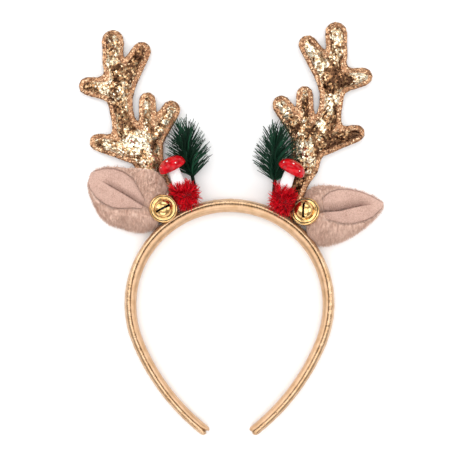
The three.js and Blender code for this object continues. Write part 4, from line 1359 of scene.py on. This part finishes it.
def soft_box(name, at, size, power):
    """A rectangular lamp, aimed at the middle of the table."""
    lamp = bpy.data.lights.new(name, "AREA")
    lamp.shape = "RECTANGLE"
    lamp.size, lamp.size_y = size
    lamp.energy = power
    box = new_object(name, lamp)
    box.location = at
    box.rotation_euler = (-Vector(at)).to_track_quat("-Z", "Y").to_euler()


class HEADBAND_OT_stage(bpy.types.Operator):
    """Sets the headband on a pale table under soft lights, with the camera straight above"""

    bl_idname = "headband.stage"
    bl_label = "Stage"

    def execute(self, context):
        sizes = context.scene.headband_stage
        # White card is matt and nearly even, so that the table shows only the headband's soft shadows
        card, tree, body = new_material("White card", Roughness=0.9)
        place = add_node(tree, "ShaderNodeTexCoord").outputs["Object"]
        fibres = add_node(
            tree, "ShaderNodeTexNoise", {"Vector": place, "Scale": per_metre(30), "Detail": 3.0}
        )
        tone = add_node(
            tree, "ShaderNodeValToRGB", {"Fac": fibres.outputs["Fac"]},
            ((0.3, srgb(0xFCFCFC)), (0.7, srgb(0xFEFEFE))),
        )
        feed(tree, body, Base_Color=tone.outputs["Color"])
        shape = bmesh.new()
        bmesh.ops.create_grid(shape, x_segments=2, y_segments=2, size=6)
        floor = new_object("table", mesh_of("table", shape))
        floor.data.materials.append(card)
        world = bpy.data.worlds.new("Studio")
        world.use_nodes = True
        way = add_node(world.node_tree, "ShaderNodeTexCoord").outputs["Generated"]
        height = add_node(world.node_tree, "ShaderNodeSeparateXYZ", {0: way}).outputs["Z"]
        # Bright above and dim at the sides, so that foil and brass show both lights and darks
        stops = ((0, 0.4), (0.15, 0.14), (0.83, 0.17), (0.97, 1))
        grey = [(at, (shade, shade, shade)) for at, shade in stops]
        dome = add_node(world.node_tree, "ShaderNodeValToRGB", {"Fac": height}, grey)
        backdrop = world.node_tree.nodes["Background"]
        backdrop.inputs["Strength"].default_value = 2.5
        world.node_tree.links.new(dome.outputs["Color"], backdrop.inputs["Color"])
        context.scene.world = world
        soft_box("key", (-0.95, 0.45, 0.8), (0.9, 0.9), 6.0)
        soft_box("fill", (1.0, 0.15, 0.75), (0.8, 0.8), 4.2)
        soft_box("front", (-0.1, -1.1, 0.7), (1.1, 0.6), 4.4)
        soft_box("back", (0.15, 1.15, 0.8), (1.0, 0.6), 3.8)
        context.scene.view_settings.view_transform = "Standard"
        camera = bpy.data.cameras.new("Camera")
        camera.sensor_width = 36
        camera.lens = 36 * sizes.camera_height / sizes.view_width
        camera.clip_start = 0.01
        eye = new_object("Camera", camera)
        eye.location = HOOP_MIDDLE + Vector((0.33 * MM, 48.84 * MM, sizes.camera_height))
        context.scene.camera = eye
        return {"FINISHED"}


GROUPS = {
    "headband_band": BandSizes, "headband_antlers": AntlerSizes, "headband_ears": EarSizes,
    "headband_bells": BellSizes, "headband_pompoms": PompomSizes, "headband_toadstools": ToadstoolSizes,
    "headband_sprigs": SprigSizes, "headband_stage": StageSizes,
}
OPERATORS = (
    HEADBAND_OT_stage, HEADBAND_OT_band, HEADBAND_OT_antlers, HEADBAND_OT_ears, HEADBAND_OT_bells,
    HEADBAND_OT_pompoms, HEADBAND_OT_toadstools, HEADBAND_OT_sprigs,
)


class HEADBAND_PT_parts(bpy.types.Panel):
    """Sizes, colours and the operators that make each piece"""

    bl_label = "Headband"
    bl_space_type = "VIEW_3D"
    bl_region_type = "UI"
    bl_category = "Headband"

    def draw(self, context):
        for name, group in GROUPS.items():
            box = self.layout.box()
            for entry in group.__annotations__:
                box.prop(getattr(context.scene, name), entry)
        for operator in OPERATORS:
            self.layout.operator(operator.bl_idname)


def register():
    for group in GROUPS.values():
        bpy.utils.register_class(group)
    for operator in (*OPERATORS, HEADBAND_PT_parts):
        bpy.utils.register_class(operator)
    for name, group in GROUPS.items():
        setattr(bpy.types.Scene, name, bpy.props.PointerProperty(type=group))


def unregister():
    for name in GROUPS:
        delattr(bpy.types.Scene, name)
    for operator in (HEADBAND_PT_parts, *OPERATORS):
        bpy.utils.unregister_class(operator)
    for group in GROUPS.values():
        bpy.utils.unregister_class(group)


def main():
    register()
    for operator in OPERATORS:
        group, name = operator.bl_idname.split(".")
        getattr(getattr(bpy.ops, group), name)()
    bpy.context.view_layer.update()


if __name__ == "__main__":
    main()
